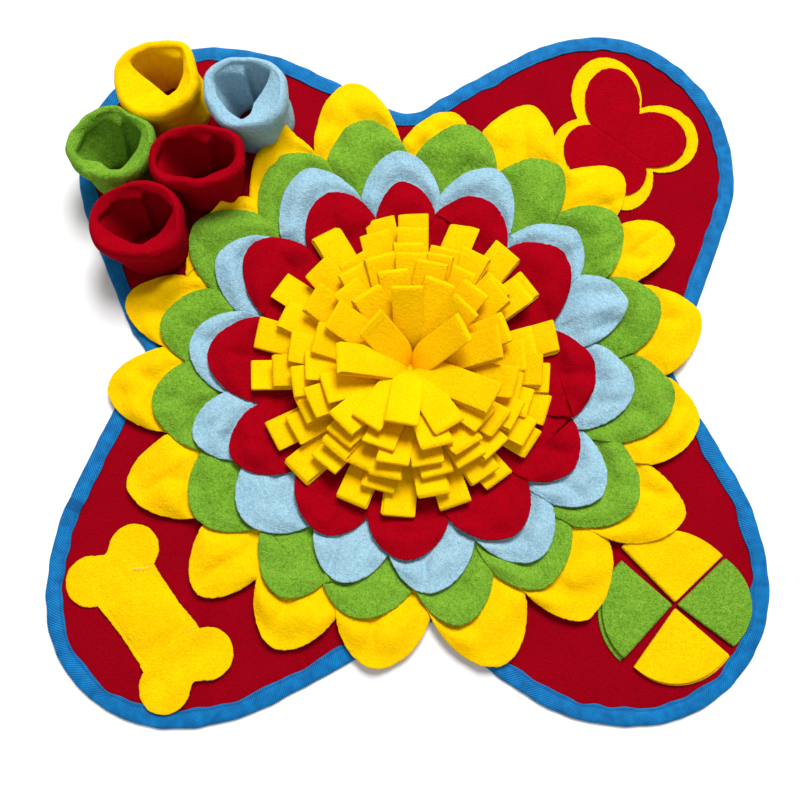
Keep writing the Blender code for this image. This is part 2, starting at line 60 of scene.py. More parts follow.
# %% The edge's points and normals
Circle = namedtuple("Circle", "kind x y radius")
EDGE_CIRCLES = (
    Circle("lobe", 203, 231, 135),
    Circle("notch", 6, 343, 64.5),
    Circle("lobe", -189.5, 218.5, 141),
    Circle("notch", -321.5, 18.5, 58.5),
    Circle("lobe", -192.5, -187.5, 142.5),
    Circle("notch", 19.5, -300, 57.5),
    Circle("lobe", 203.5, -186, 139.5),
    Circle("notch", 320, 8.5, 60.5),
)
LOBE_STEPS = 14
NOTCH_STEPS = 6
SIDE_STEPS = 2
EDGE_WAVES = (                  # waves round the edge: count, height, phase
    (5, 5.0, 2.7), (8, 0.7, 2.3), (11, 0.9, 0.45), (12, 2.3, 2.25), (16, 1.4, 3.45),
)
EDGE_FINENESS = 12                               # points here for each point of the plain solid


def polar(angle):
    """Unit vectors at angles in radians: cosine and sine, as the last axis."""
    return np.stack((np.cos(angle), np.sin(angle)), axis=-1)


def edge_line(fineness):
    """Points and outward normals round the mat's edge.

    Each circle is an arc of equal steps; a straight side runs from its last point to where the
    next circle's arc begins, at right angles to the same normal.  A few sine waves move each point
    along its normal.
    """
    middles = np.array([(circle.x, circle.y) for circle in EDGE_CIRCLES], float)
    radii = np.array([circle.radius for circle in EDGE_CIRCLES], float)
    lobes = np.array([circle.kind == "lobe" for circle in EDGE_CIRCLES])
    across = np.roll(middles, -1, axis=0) - middles
    lean = np.arcsin((radii + np.roll(radii, -1)) / np.hypot(*across.T))
    headings = np.arctan2(across[:, 1], across[:, 0]) + np.where(lobes, lean, -lean)
    points = []
    normals = []
    for place, lobe in enumerate(lobes):
        side = 1.0 if lobe else -1.0
        steps = (LOBE_STEPS if lobe else NOTCH_STEPS) * fineness
        turn = (headings[place] - headings[place - 1]) % (2 * math.pi) - (0 if lobe else 2 * math.pi)
        outward = polar(headings[place - 1] + turn * np.linspace(0, 1, steps + 1) - math.pi / 2)
        arc = middles[place] + outward * radii[place] * side
        following = (place + 1) % len(lobes)
        arrival = middles[following] - outward[-1] * radii[following] * side
        share = np.arange(1, SIDE_STEPS * fineness)[:, None] / (SIDE_STEPS * fineness)
        points += [arc, arc[-1] + (arrival - arc[-1]) * share]
        normals += [outward, np.repeat(outward[-1:], len(share), axis=0)]
    points = np.concatenate(points)
    normals = np.concatenate(normals)
    round_share = np.arange(len(points)) / len(points)
    wave = sum(height * np.sin(2 * math.pi * count * round_share + phase)
               for count, height, phase in EDGE_WAVES)
    return points + normals * wave[:, None], normals


plain_edge = edge_line(1)[0]
FRAME_MIDDLE = np.append((plain_edge.min(axis=0) + plain_edge.max(axis=0)) / 2, 0.0)
EDGE, EDGE_NORMAL = edge_line(EDGE_FINENESS)
edge_steps = np.linalg.norm(np.roll(EDGE, -1, axis=0) - EDGE, axis=1)
EDGE_LENGTH = edge_steps.sum()
EDGE_PLACE = np.concatenate(([0.0], np.cumsum(edge_steps)[:-1]))     # along the edge, in mm
print("edge:", len(EDGE), "points,", round(EDGE_LENGTH), "mm round")


# %% [markdown]
# ## The camera
#
# The photograph looks down at the mat from in front, 78 degrees above the floor.  The strips of
# the pompom and the tape give the scale, and the way the tall cups lean out of the picture gives
# the distance.

# %% Camera
LOOK_AT = (-5.8, -26.0, 0.0)
ELEVATION = 78.0
DISTANCE = 874.0
LENS = 40.5

camera = bpy.data.objects.new("camera", bpy.data.cameras.new("camera"))
bpy.context.scene.collection.objects.link(camera)
bpy.context.scene.camera = camera
towards = Vector((0.0, -math.cos(math.radians(ELEVATION)), math.sin(math.radians(ELEVATION))))
camera.location = Vector((np.array(LOOK_AT) - FRAME_MIDDLE) * MM) + towards * DISTANCE * MM
camera.rotation_mode = "QUATERNION"
camera.rotation_quaternion = (-towards).to_track_quat("-Z", "Y")
camera.data.sensor_width = 36.0
camera.data.lens = LENS
camera.data.clip_start = 0.01
print("camera:", tuple(round(value, 3) for value in camera.location))

# %% [markdown]
# ## From arrays to meshes
#
# Every piece is a grid of points that closes on itself.  A grid wraps round its first axis; along
# its second it either joins up as well, or ends in a pole or a flat cap.  Blender has primitives
# for a few such shapes, but cloth is none of them, and a grid of computed points can be any shape.

# %% Closed grids
def skin(grid, ends):
    """Faces and extra points that close a grid of shape (around, along, 3).

    ends is "joined" where the last column meets the first, "poles" where each end runs to one
    point at its own middle, and "caps" where each end is one flat face.
    """
    around, along = grid.shape[:2]
    index = np.arange(around * along).reshape(around, along)
    beside = np.roll(index, -1, axis=0)
    if ends == "joined":
        ahead = np.roll(index, -1, axis=1)
        corner = np.roll(beside, -1, axis=1)
    else:
        ahead, corner = index[:, 1:], beside[:, 1:]
        index, beside = index[:, :-1], beside[:, :-1]
    faces = np.stack((index, beside, corner, ahead), axis=-1).reshape(-1, 4).tolist()
    points = grid.reshape(-1, 3)
    first = np.arange(around) * along
    last = first + along - 1
    if ends == "caps":
        faces += [first[::-1].tolist(), last.tolist()]
    if ends == "poles":
        count = len(points)
        points = np.concatenate((points, grid[:, :1].mean(axis=0), grid[:, -1:].mean(axis=0)))
        faces += np.stack((np.roll(first, -1), first, np.full(around, count)), axis=-1).tolist()
        faces += np.stack((last, np.roll(last, -1), np.full(around, count + 1)), axis=-1).tolist()
    return points, faces


print("a grid of 6 by 4 points with two poles:", len(skin(np.zeros((6, 4, 3)), "poles")[1]), "faces")

# %% [markdown]
# ## From grids to pieces
#
# Several closed grids can share one mesh, which is how ninety-one strips become one pompom.  A
# grid may come out with its faces pointing inwards.  Its signed volume is negative then, so that
# is worked out for each one, and such faces are turned round.

# %% Pieces
def volume(points, faces):
    """Six times the signed volume: the sum over fans of triangles of their triple products."""
    total = 0.0
    for size in {len(face) for face in faces}:
        corners = points[np.array([face for face in faces if len(face) == size])]
        for step in range(1, size - 1):
            cross = np.cross(corners[:, step], corners[:, step + 1])
            total += np.einsum("ij,ij->", corners[:, 0], cross)
    return total


def add_piece(name, shells, material, nodes=(), slot=None, uv=None):
    """Make one piece from closed shells, each (points in mm, faces), and give it to the frame.

    uv holds each point's millimetres along a line that goes once round the mat, and across it.  A
    face that crosses the line's start has its small values raised by the line's whole length.
    """
    points = []
    faces = []
    count = 0
    for shell_points, shell_faces in shells:
        turned = -1 if volume(shell_points, shell_faces) < 0 else 1
        faces += [[corner + count for corner in face[::turned]] for face in shell_faces]
        points.append(shell_points)
        count += len(shell_points)
    points = (np.concatenate(points) - FRAME_MIDDLE) * MM
    mesh = bpy.data.meshes.new(name)
    mesh.from_pydata(points.tolist(), [], faces)
    mesh.shade_smooth()
    if uv is not None:
        layer = mesh.uv_layers.new(name="cloth")
        corner_point = np.zeros(len(mesh.loops), np.int32)
        mesh.loops.foreach_get("vertex_index", corner_point)
        corner_uv = uv[corner_point].reshape(-1, 4, 2)
        seam = np.ptp(corner_uv[..., 0], axis=1) > EDGE_LENGTH / 2
        corner_uv[seam, :, 0] += EDGE_LENGTH * (corner_uv[seam, :, 0] < EDGE_LENGTH / 2)
        layer.data.foreach_set("uv", corner_uv.astype(np.float32).ravel())
    piece = bpy.data.objects.new(name, mesh)
    bpy.context.scene.collection.objects.link(piece)
    mesh.materials.append(material)
    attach(piece, "root")
    if nodes:
        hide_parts(*nodes)
    print(f"{name}: {len(points)} points, {len(faces)} faces")
    return piece


cube = np.array([[(x, y, z) for z in (0, 1)] for x, y in ((0, 0), (1, 0), (1, 1), (0, 1))], float)
print("six times a unit cube's volume:", round(abs(volume(*skin(cube, "caps"))), 3))

# %% [markdown]
# ## Unevenness
#
# Nothing made of fleece is level.  Two helpers give every piece its own slow waves: one over a
# plane, one along a line that closes on itself.  Both add up a few cosines with seeded directions
# and phases, so the same cloth comes out on every run.

# %% Seeded waves
def ripples(x, y, length, seed, count=9):
    """Slow waves over a plane, about 1 high: cosines of random heading and a length near length."""
    rng = np.random.default_rng(seed)
    heading = polar(rng.uniform(0, 2 * math.pi, count))
    lengths = length * rng.uniform(0.7, 1.5, count)
    phase = rng.uniform(0, 2 * math.pi, count)
    along = x[..., None] * heading[:, 0] + y[..., None] * heading[:, 1]
    return np.cos(2 * math.pi * along / lengths + phase).sum(axis=-1) / math.sqrt(count)


def waves_round(place, whole, length, seed, count=12):
    """Waves along a closed line, about 1 high: cosines that fit a whole number of times."""
    rng = np.random.default_rng(seed)
    times = np.round(whole / (length * rng.uniform(0.6, 1.7, count)))
    phase = rng.uniform(0, 2 * math.pi, count)
    return np.cos(2 * math.pi * place[..., None] / whole * times + phase).sum(axis=-1) / math.sqrt(count)


def ramp(value, low, high):
    """0 below low, 1 above high, and a smooth S between them."""
    share = np.clip((value - low) / (high - low), 0, 1)
    return share * share * (3 - 2 * share)


def bell(value, middle, spread):
    """A smooth rise to 1 at middle that fades over spread on both sides."""
    return np.exp(-((value - middle) / spread) ** 2)


def turned_from(angle, start):
    """Degrees from start to angle, from -180 to 180."""
    return (angle - start + 180) % 360 - 180


sample = ripples(*np.meshgrid(np.arange(300.0), np.arange(300.0)), 60, seed=3)
print("ripples lie between", round(sample.min(), 2), "and", round(sample.max(), 2))

# %% [markdown]
# ## Shader arithmetic
#
# A wire is a node's output that can be used in a Python expression: `0.5 + nap * 0.2` adds the two
# Math nodes.  Any other node comes from `Finish.node`, which sets the node's settings first and
# then its sockets, each by a number, a colour or another wire.

# %% Wires
class Wire:
    """A node's output, with the arithmetic that the finishes use."""

    def __init__(self, finish, socket):
        self.finish = finish
        self.socket = socket

    def math(self, operation, first, second):
        """Add a Math node that works on two values."""
        return self.finish.node("ShaderNodeMath", {"operation": operation}, {0: first, 1: second})

    def __add__(self, other):
        return self.math("ADD", self, other)

    def __radd__(self, other):
        return self.math("ADD", other, self)

    def __sub__(self, other):
        return self.math("SUBTRACT", self, other)

    def __rsub__(self, other):
        return self.math("SUBTRACT", other, self)

    def __mul__(self, other):
        return self.math("MULTIPLY", self, other)

    def __rmul__(self, other):
        return self.math("MULTIPLY", other, self)


print("operators on wires: + - *")

# %% [markdown]
# A finish is one material.  Cloth is rough all over, so roughness, sheen and the weak reflection
# are plain numbers on the shader, and only colour and bump are worked out by nodes.  All noise
# reads Object coordinates, which are the piece's own metres, so that a grain has its real size.

# %% Finishes
class Finish:
    """A material and its Principled shader."""

    def __init__(self, name, roughness, sheen=0.0, tint=(1, 1, 1), specular=0.2):
        self.material = bpy.data.materials.new(name)
        self.material.use_nodes = True
        self.tree = self.material.node_tree
        self.shader = self.tree.nodes["Principled BSDF"]
        self.shader.inputs["Roughness"].default_value = roughness
        self.shader.inputs["Sheen Weight"].default_value = sheen
        self.shader.inputs["Sheen Roughness"].default_value = 0.6
        self.shader.inputs["Sheen Tint"].default_value = (*tint, 1.0)
        self.shader.inputs["Specular IOR Level"].default_value = specular

    def plug(self, socket, value):
        """Link a wire to an input, or set the input to a plain value."""
        if isinstance(value, Wire):
            self.tree.links.new(value.socket, socket)
        else:
            socket.default_value = value

    def node(self, kind, settings=None, sockets=None, output=0):
        """Add a node: settings are its attributes, sockets its inputs by name or number."""
        made = self.tree.nodes.new(kind)
        for name, value in (settings or {}).items():
            setattr(made, name, value)
        for name, value in (sockets or {}).items():
            self.plug(made.inputs[name], value)
        return Wire(self, made.outputs[output])

    def place(self):
        """Object coordinates: metres from the middle of the mat."""
        return self.node("ShaderNodeTexCoord", output="Object")

    def noise(self, vector, grain, detail=2.0, roughness=0.5):
        """Noise from 0 to 1 whose grain is that many millimetres across."""
        sockets = {"Vector": vector, "Scale": 1.0 / (grain * MM), "Detail": detail,
                   "Roughness": roughness}
        return self.node("ShaderNodeTexNoise", None, sockets)

    def blend(self, factor, first, second):
        """A colour between two others."""
        sockets = {0: factor, 6: first, 7: second}
        return self.node("ShaderNodeMix", {"data_type": "RGBA"}, sockets, output=2)

    def raise_by(self, height, depth):
        """Send a height to the shader's normal, as a bump that many millimetres deep."""
        bump = self.node("ShaderNodeBump", None,
                         {"Height": height, "Distance": depth * MM, "Strength": 1.0})
        self.plug(self.shader.inputs["Normal"], bump)


print("noise scale for a grain of 2 mm:", 1 / (2 * MM))

# %% [markdown]
# ## Fleece
#
# Fleece is a knit with a brushed face: matt, with short fibres that clump into grains one or two
# millimetres across.  Each colour mottles differently, the blue and the green most and the yellow
# least.  Two noises make the grains and a third the hand marks, where the nap lies another way.
# All three move the colour, and the grains raise the surface too.

# %% Fleece in five colours
Fleece = namedtuple("Fleece", "name dark light clump mottle depth sheen")
FLEECES = (
    Fleece("mat_fleece", (0.20, 0.0002, 0.0045), (0.36, 0.0006, 0.0090), 1.5, 1.2, 0.45, 0.0),
    Fleece("red_fleece", (0.24, 0.0002, 0.0045), (0.43, 0.0006, 0.0090), 1.6, 1.2, 0.55, 0.0),
    Fleece("yellow_fleece", (0.94, 0.43, 0.0003), (1.0, 0.71, 0.0010), 1.9, 0.9, 0.55, 0.0),
    Fleece("green_fleece", (0.070, 0.225, 0.010), (0.27, 0.50, 0.045), 2.4, 1.35, 0.90, 0.04),
    Fleece("blue_fleece", (0.20, 0.385, 0.52), (0.42, 0.655, 0.755), 2.3, 1.4, 0.80, 0.04),
)
GRAINS = (0.6, 1.6)         # size of the nap's grains and of the clumps, times the cloth's clump
MARK_SIZE = 34.0            # mm across a hand mark
SHADES = (1.7, 0.6, 0.5)    # how much the nap, the clumps and the hand marks shade the colour
RELIEF = 2.8                # depth of the bump in mm, times the cloth's depth


def fleece_material(cloth):
    """The colour is a blend whose share is a half plus nap, clumps and hand marks about zero."""
    tint = tuple(value ** 0.5 for value in cloth.light)
    finish = Finish(cloth.name, roughness=0.95, sheen=cloth.sheen, tint=tint, specular=0.02)
    place = finish.place()
    nap = finish.noise(place, cloth.clump * GRAINS[0], detail=3.0, roughness=0.65)
    clumps = finish.noise(place, cloth.clump * GRAINS[1])
    marks = finish.noise(place, MARK_SIZE)
    shade = (nap - 0.5) * (SHADES[0] * cloth.mottle) + (clumps - 0.5) * (SHADES[1] * cloth.mottle)
    shade = shade + (marks - 0.5) * SHADES[2] + 0.5
    colour = finish.blend(shade, (*cloth.dark, 1.0), (*cloth.light, 1.0))
    finish.plug(finish.shader.inputs["Base Color"], colour)
    finish.raise_by(nap * 0.55 + clumps * 0.45, cloth.depth * RELIEF)
    return finish.material


FLEECE = {cloth.name.split("_")[0]: fleece_material(cloth) for cloth in FLEECES}
print("fleece:", ", ".join(FLEECE))

# %% [markdown]
# ## Tape and thread
#
# The binding is a woven tape with a diagonal twill under three millimetres from rib to rib.
# The ribs have to follow the edge round its curves, so they read the piece's own map, which holds
# millimetres along and across the tape.  The thread is a plain bright cord.

# %% Tape and thread
TWILL_PITCH = 2.7       # mm from rib to rib, along the tape
TAPE_END = EDGE_PLACE[np.argmin(np.hypot(*(EDGE - (-327, -125)).T))]    # where its ends lap
TAPE_LAP = 11.0         # mm of it


def tape_material():
    """Ribs are a sine of the place along plus the place across; slow noise wears the colour, and where the
    ends lap the colour is darkened as painted shade.
    """
    finish = Finish("blue_tape", roughness=0.62, sheen=0.0, specular=0.15)
    woven = finish.node("ShaderNodeUVMap", {"uv_map": "cloth"})
    parts = finish.node("ShaderNodeSeparateXYZ", None, {0: woven})
    across = Wire(finish, parts.socket.node.outputs["Y"])
    turns = (parts + across * 0.9) * (2 * math.pi / TWILL_PITCH)
    ribs = turns.math("SINE", turns, 0.0) * 0.5 + 0.5
    place = finish.place()
    wear = finish.noise(place, 9.0, detail=3.0)
    fibre = finish.noise(place, 0.7)
    lap = parts.math("COMPARE", parts, TAPE_END)
    lap.socket.node.inputs[2].default_value = TAPE_LAP / 2      # how close counts as the same
    # lap darkens the colour where the tape's ends lap: painted shade of the upper end's fold
    shade = 0.22 + ribs * 0.4 + (wear - 0.5) * 1.3 + (fibre - 0.5) * 0.5 - lap * 0.45
    colour = finish.blend(shade, (0.0006, 0.085, 0.26, 1.0), (0.003, 0.235, 0.60, 1.0))
    finish.plug(finish.shader.inputs["Base Color"], colour)
    finish.raise_by(ribs + fibre * 0.3, 0.35)
    return finish.material


def thread_material(name, colour):
    """A twist of fine fibres: a short noise darkens and dents the colour."""
    finish = Finish(name, roughness=0.55, specular=0.35)
    fibre = finish.noise(finish.place(), 0.5)
    shade = finish.blend(fibre, tuple(0.6 * value for value in colour) + (1.0,), (*colour, 1.0))
    finish.plug(finish.shader.inputs["Base Color"], shade)
    finish.raise_by(fibre, 0.1)
    return finish.material


TAPE = tape_material()
BLUE_THREAD = thread_material("blue_thread", (0.002, 0.09, 0.30))
PALE_THREAD = thread_material("pale_thread", (0.85, 0.70, 0.45))
print("tape and thread: 3 materials")

# %% [markdown]
# ## The mat
#
# One sheet of fleece, three millimetres thick.  Only its lobes show, and there it lies in slow
# waves that a hand would not quite smooth out.  The grid runs from the middle to the edge; its rim
# is thinner underneath, where the tape's lower leg takes up the room.

# %% The red sheet
MAT_THICKNESS = 3.0
GAP = 0.3
FELT_TOP = MAT_THICKNESS + GAP
TAPE_THICKNESS = 0.8
TAPE_FOLD = 1.3
RIM_BAND = 17.0
MAT_RINGS = 60
UNDER_STEP = 8          # the flat underside has only every eighth row
MAT_WAVE = 0.8          # how deep the sheet dips between its high places


def build_mat():
    """Rows are the rim's line shrunk towards the middle; the top dips by slow waves."""
    rim = EDGE - EDGE_NORMAL * (TAPE_FOLD + GAP)
    band = EDGE - EDGE_NORMAL * RIM_BAND
    share = np.linspace(0.02, 1.0, MAT_RINGS)
    inner = band[:, None] * share[:, None]
    outer = band[:, None] + (rim - band)[:, None] * np.array((0.35, 0.7, 1.0))[:, None]
    top = np.concatenate((inner, outer), axis=1)
    x, y = top[..., 0], top[..., 1]
    dip = 0.5 + 0.5 * np.clip(ripples(x, y, 62, seed=3) * 0.7 + ripples(x, y, 23, seed=4) * 0.25, -1, 1)
    high = MAT_THICKNESS - MAT_WAVE * dip
    low = np.full_like(high, 0.0)
    low[:, MAT_RINGS:] = TAPE_THICKNESS + GAP
    upper = np.dstack((x, y, high))
    rows = np.append(np.arange(0, MAT_RINGS, UNDER_STEP), np.arange(MAT_RINGS - 1, high.shape[1]))
    under = np.dstack((x, y, low))[:, rows[::-1]]
    return skin(np.concatenate((upper, under), axis=1), "poles")


def outline_area(outline):
    """Area inside a closed line, in square metres: half the sum of its cross products."""
    ahead = np.roll(outline, -1, axis=0)
    return abs(np.sum(outline[:, 0] * ahead[:, 1] - outline[:, 1] * ahead[:, 0])) / 2 * MM * MM


mat = add_piece("mat_sheet", [build_mat()], FLEECE["mat"], ["base_mat"], "red_fleece")
MAT_CUT = np.ptp(EDGE - EDGE_NORMAL * (TAPE_FOLD + GAP), axis=0) * MM
outline_area(EDGE - EDGE_NORMAL * (TAPE_FOLD + GAP))

# %% [markdown]
# ## The binding
#
# A channel section carried round the edge would look like plastic.  Real tape is eased round
# curves, so it puckers, its inner edge wanders by a millimetre or so, and the row of stitches
# pulls a shallow groove along it.  The section is a table of places across the tape, from the
# inner edge above, round the fold, to the inner edge below and back inside, with the share of the
# puckers that each place takes.

# %% The tape's section
Across = namedtuple("Across", "inset height pucker")
TAPE_SECTION = (
    Across(16.0, 3.35, 0.2), Across(16.0, 3.95, 0.4), Across(15.2, 4.2, 0.7),
    Across(14.2, 4.0, 0.6), Across(13.4, 3.7, 0.3), Across(12.6, 4.0, 0.7),
    Across(11.0, 4.35, 1.0), Across(9.0, 4.5, 1.0), Across(7.0, 4.55, 1.0),
    Across(5.0, 4.45, 1.0), Across(3.4, 4.3, 0.9), Across(2.0, 4.0, 0.7),
    Across(0.9, 3.4, 0.5), Across(0.25, 2.8, 0.3), Across(0.0, 2.05, 0.2),
    Across(0.25, 1.2, 0.1), Across(0.9, 0.5, 0.0), Across(2.2, 0.05, 0.0),
    Across(5.0, 0.0, 0.0), Across(11.0, 0.0, 0.0), Across(15.9, 0.0, 0.0),
    Across(16.0, 0.4, 0.0), Across(15.9, 0.8, 0.0), Across(8.0, 0.8, 0.0),
    Across(1.8, 0.8, 0.0), Across(1.3, 1.3, 0.0), Across(1.3, 2.8, 0.0),
    Across(1.8, 3.25, 0.0), Across(8.0, 3.3, 0.0), Across(15.8, 3.3, 0.0),
)
TAPE_WIDTH = 16.0
PUCKER = 0.34           # mm that the tape rises and sinks
EDGE_WANDER = 1.2       # mm that its inner edge wanders
FOLD_SWELL = 0.35       # mm that the tape stands off the sheet's edge in places
print("tape:", len(TAPE_SECTION), "places across", TAPE_WIDTH, "mm")

# %% [markdown]
# Every place of the section becomes one line round the mat, moved by waves that close on
# themselves, and the lines side by side are the tape.  Its map is measured on the way.

# %% Tape round the edge
def tape_wander(inset):
    """How far a line of the tape wanders: the inner edge all the way, others by the square of
    their share of the tape's width."""
    wander = EDGE_WANDER * waves_round(EDGE_PLACE, EDGE_LENGTH, 42, seed=13)
    return wander * (inset / TAPE_WIDTH) ** 2


def tape_height():
    """Puckers along the edge, from short waves that come and go with long ones, and the lap."""
    short = waves_round(EDGE_PLACE, EDGE_LENGTH, 15, seed=11)
    long = waves_round(EDGE_PLACE, EDGE_LENGTH, 120, seed=12)
    lap = ramp(TAPE_LAP / 2 - np.abs(EDGE_PLACE - TAPE_END), -0.6, 0.6)
    return PUCKER * short * (0.75 + 0.35 * long) + TAPE_THICKNESS * lap


def build_binding():
    """Each place of the section is a line inside the edge, moved by puckers, wander and swell."""
    swell = FOLD_SWELL * waves_round(EDGE_PLACE, EDGE_LENGTH, 26, seed=14)
    puckers = tape_height()
    lines = []
    for across in TAPE_SECTION:
        out_share = (1 - across.inset / TAPE_WIDTH) * (across.height > 1.0)
        inset = across.inset + tape_wander(across.inset) - swell * out_share
        spot = EDGE - EDGE_NORMAL * inset[:, None]
        lines.append(np.column_stack((spot, across.height + puckers * across.pucker)))
    grid = np.stack(lines, axis=1)
    round_section = np.linalg.norm(np.diff(grid, axis=1), axis=2).mean(axis=0)
    across_map = np.concatenate(([0.0], np.cumsum(round_section)))
    uv = np.dstack(np.broadcast_arrays(EDGE_PLACE[:, None], across_map[None, :])).reshape(-1, 2)
    return skin(grid, "joined"), uv, round_section.sum()


tape_shell, tape_map, tape_round = build_binding()
binding = add_piece("edge_tape", [tape_shell], TAPE, ["edge_binding"], "blue_tape", tape_map)

# %% [markdown]
# ## The row of stitches
#
# A lockstitch shows as a row of short threads with gaps between them, each dipping into the cloth
# at both ends.  There are hundreds, so each is a rod of six sides, and all are one mesh.

# %% Stitches in the tape's groove
STITCH_INSET = 13.4
STITCH_PITCH = 3.4
STITCH_LENGTH = 2.3
STITCH_RADIUS = 0.42
STITCH_LEVEL = 3.72     # mm above the floor, where the tape has no pucker


def build_stitches(line, heading, length, radius):
    """Short threads, one for each spot: a six-sided rod whose ends run to points."""
    side = np.cross(heading, (0.0, 0.0, 1.0))
    side /= np.linalg.norm(side, axis=1)[:, None]
    up = np.cross(side, heading)
    turn = polar(np.linspace(0, 2 * math.pi, 6, endpoint=False))
    along = np.array((-0.5, -0.42, -0.2, 0.2, 0.42, 0.5)) * length
    thick = np.array((0.35, 0.8, 1.0, 1.0, 0.8, 0.35)) * radius
    lift = np.array((-0.5, -0.1, 0.1, 0.1, -0.1, -0.5)) * radius
    shells = []
    for spot, ahead, right, above in zip(line, heading, side, up):
        ring = turn[:, :1] * right + turn[:, 1:] * above
        grid = spot + along[None, :, None] * ahead + ring[:, None] * thick[None, :, None]
        shells.append(skin(grid + lift[None, :, None] * above, "poles"))
    return shells


def edge_stitches():
    """Spots every few millimetres along the groove of the tape."""
    count = int(EDGE_LENGTH / STITCH_PITCH)
    place = np.arange(count) * EDGE_LENGTH / count
    line = EDGE - EDGE_NORMAL * (STITCH_INSET + tape_wander(STITCH_INSET))[:, None]
    height = STITCH_LEVEL + tape_height() * 0.3
    spots = np.column_stack([np.interp(place, EDGE_PLACE, values, period=EDGE_LENGTH)
                             for values in (line[:, 0], line[:, 1], height)])
    heading = np.roll(spots, -1, axis=0) - np.roll(spots, 1, axis=0)
    heading /= np.linalg.norm(heading, axis=1)[:, None]
    return build_stitches(spots, heading, STITCH_LENGTH, STITCH_RADIUS)


edge_thread = add_piece("edge_stitches", edge_stitches(), BLUE_THREAD, slot="blue_tape")
tape_round / 2 * MM

# %% [markdown]
# ## A patch of cloth
#
# Petals and toys are all the same thing to a maker: a shape cut from fleece that lies on whatever
# is under it.  So one function makes them: it takes the cut line and a height for every place, and
# returns a closed sheet of even thickness with a soft rounded edge.  A solidified plane could do
# the same, but its rim would be square, and the rim is what shows where petals lap.

# %% Cloth over a height
RIM_STEPS = 4           # rows of points round a cut edge
RAGGED = 0.2            # mm by which a cut line wavers


def normals_of(height, x, y, step=0.5):
    """Unit normals of a height field, from its slopes a short step each way."""
    slope_x = (height(x + step, y) - height(x - step, y)) / (2 * step)
    slope_y = (height(x, y + step) - height(x, y - step)) / (2 * step)
    normal = np.stack((-slope_x, -slope_y, np.ones_like(slope_x)), axis=-1)
    return normal / np.linalg.norm(normal, axis=-1, keepdims=True)


def cloth_patch(outline, middle, height, thickness, rings=14, under=5, seed=1):
    """A closed sheet inside an outline that every line from its middle meets once.

    Rows are the outline shrunk towards the middle.  The upper face is the height plus half the
    thickness along the surface's normal, the lower one the same the other way, and the edge is a
    half circle between them.  The cut line wavers by a fraction of a millimetre.
    """
    ahead = np.roll(outline, -1, axis=0) - np.roll(outline, 1, axis=0)
    ahead /= np.linalg.norm(ahead, axis=1)[:, None]
    outward = np.column_stack((ahead[:, 1], -ahead[:, 0]))
    if np.sum(outward * (outline - middle)) < 0:
        outward = -outward
    waver = np.random.default_rng(seed).normal(0, RAGGED, len(outline))
    inner = outline + outward * (waver - thickness / 2)[:, None]
    half = thickness / 2

    def face(shares, side):
        """The outline shrunk by shares, half the thickness above (1) or below (-1) the height."""
        flat = middle + (inner - middle)[:, None] * shares[None, :, None]
        x, y = flat[..., 0], flat[..., 1]
        return np.dstack((x, y, height(x, y))) + normals_of(height, x, y) * half * side

    top = face(np.arange(1, rings + 1) / rings, 1.0)
    bottom = face(np.arange(under, 0, -1) / under, -1.0)
    x, y = inner[:, 0], inner[:, 1]
    base = np.column_stack((x, y, height(x, y)))
    normal = normals_of(height, x, y)
    out = np.column_stack((outward, np.zeros(len(outward))))
    out -= normal * np.sum(out * normal, axis=1)[:, None]
    out /= np.linalg.norm(out, axis=1)[:, None]
    turn = polar(math.pi * np.arange(1, RIM_STEPS + 1) / (RIM_STEPS + 1))
    edge = base[:, None] + half * (normal[:, None] * turn[None, :, :1] + out[:, None] * turn[None, :, 1:])
    return skin(np.concatenate((top, edge, bottom), axis=1), "poles")


round_cut = polar(np.linspace(0, 2 * math.pi, 60, endpoint=False)) * 50
flat_patch = cloth_patch(round_cut, np.zeros(2), lambda x, y: 0 * x, 2.0)
print("a flat round patch 100 mm across:", len(flat_patch[0]), "points")

# %% [markdown]
# ## Petals
#
# A ring is a scalloped band sewn down along its root.  It climbs over the root of the next ring
# out and comes to lie on that ring's petals.  Each petal is cut as one shape here, because where
# two petals meet the band is tucked, and one laps the other.  The tables hold where a petal starts
# in degrees, how deep the valley before it is, where its tip is and how far it reaches in mm, how
# much its middle lifts, and the power of its curve: a low one makes a point, a high one a square end.

# %% Tables of petals
Petal = namedtuple("Petal", "start valley tip reach lift power", defaults=(1.8,))
YELLOW_PETALS = (
    Petal(-1, 250, 11, 294, 1.0), Petal(21.5, 240, 28, 300, 1.6, 2.6), Petal(36, 250, 43.5, 301, 1.2),
    Petal(53.5, 250, 65, 311, 1.8), Petal(74, 246, 80, 280, 0.6), Petal(91, 239, 100.5, 313, 1.5),
    Petal(112, 248, 117, 287, 2.0, 1.15), Petal(131, 240, 138, 252, 1.2, 3.0), Petal(156, 238, 165, 285, 0.8),
    Petal(174, 236, 183.5, 288, 1.2), Petal(195, 232, 203.5, 286, 1.0), Petal(217, 230, 227.5, 285, 1.8),
    Petal(235, 239, 245, 285, 1.2), Petal(254.5, 240, 264, 278, 0.8), Petal(275.5, 232, 287.5, 287, 1.6),
    Petal(297.5, 236, 306, 286, 1.0), Petal(319.5, 248, 331.5, 296, 1.8), Petal(338.5, 248, 350, 285, 1.2),
)
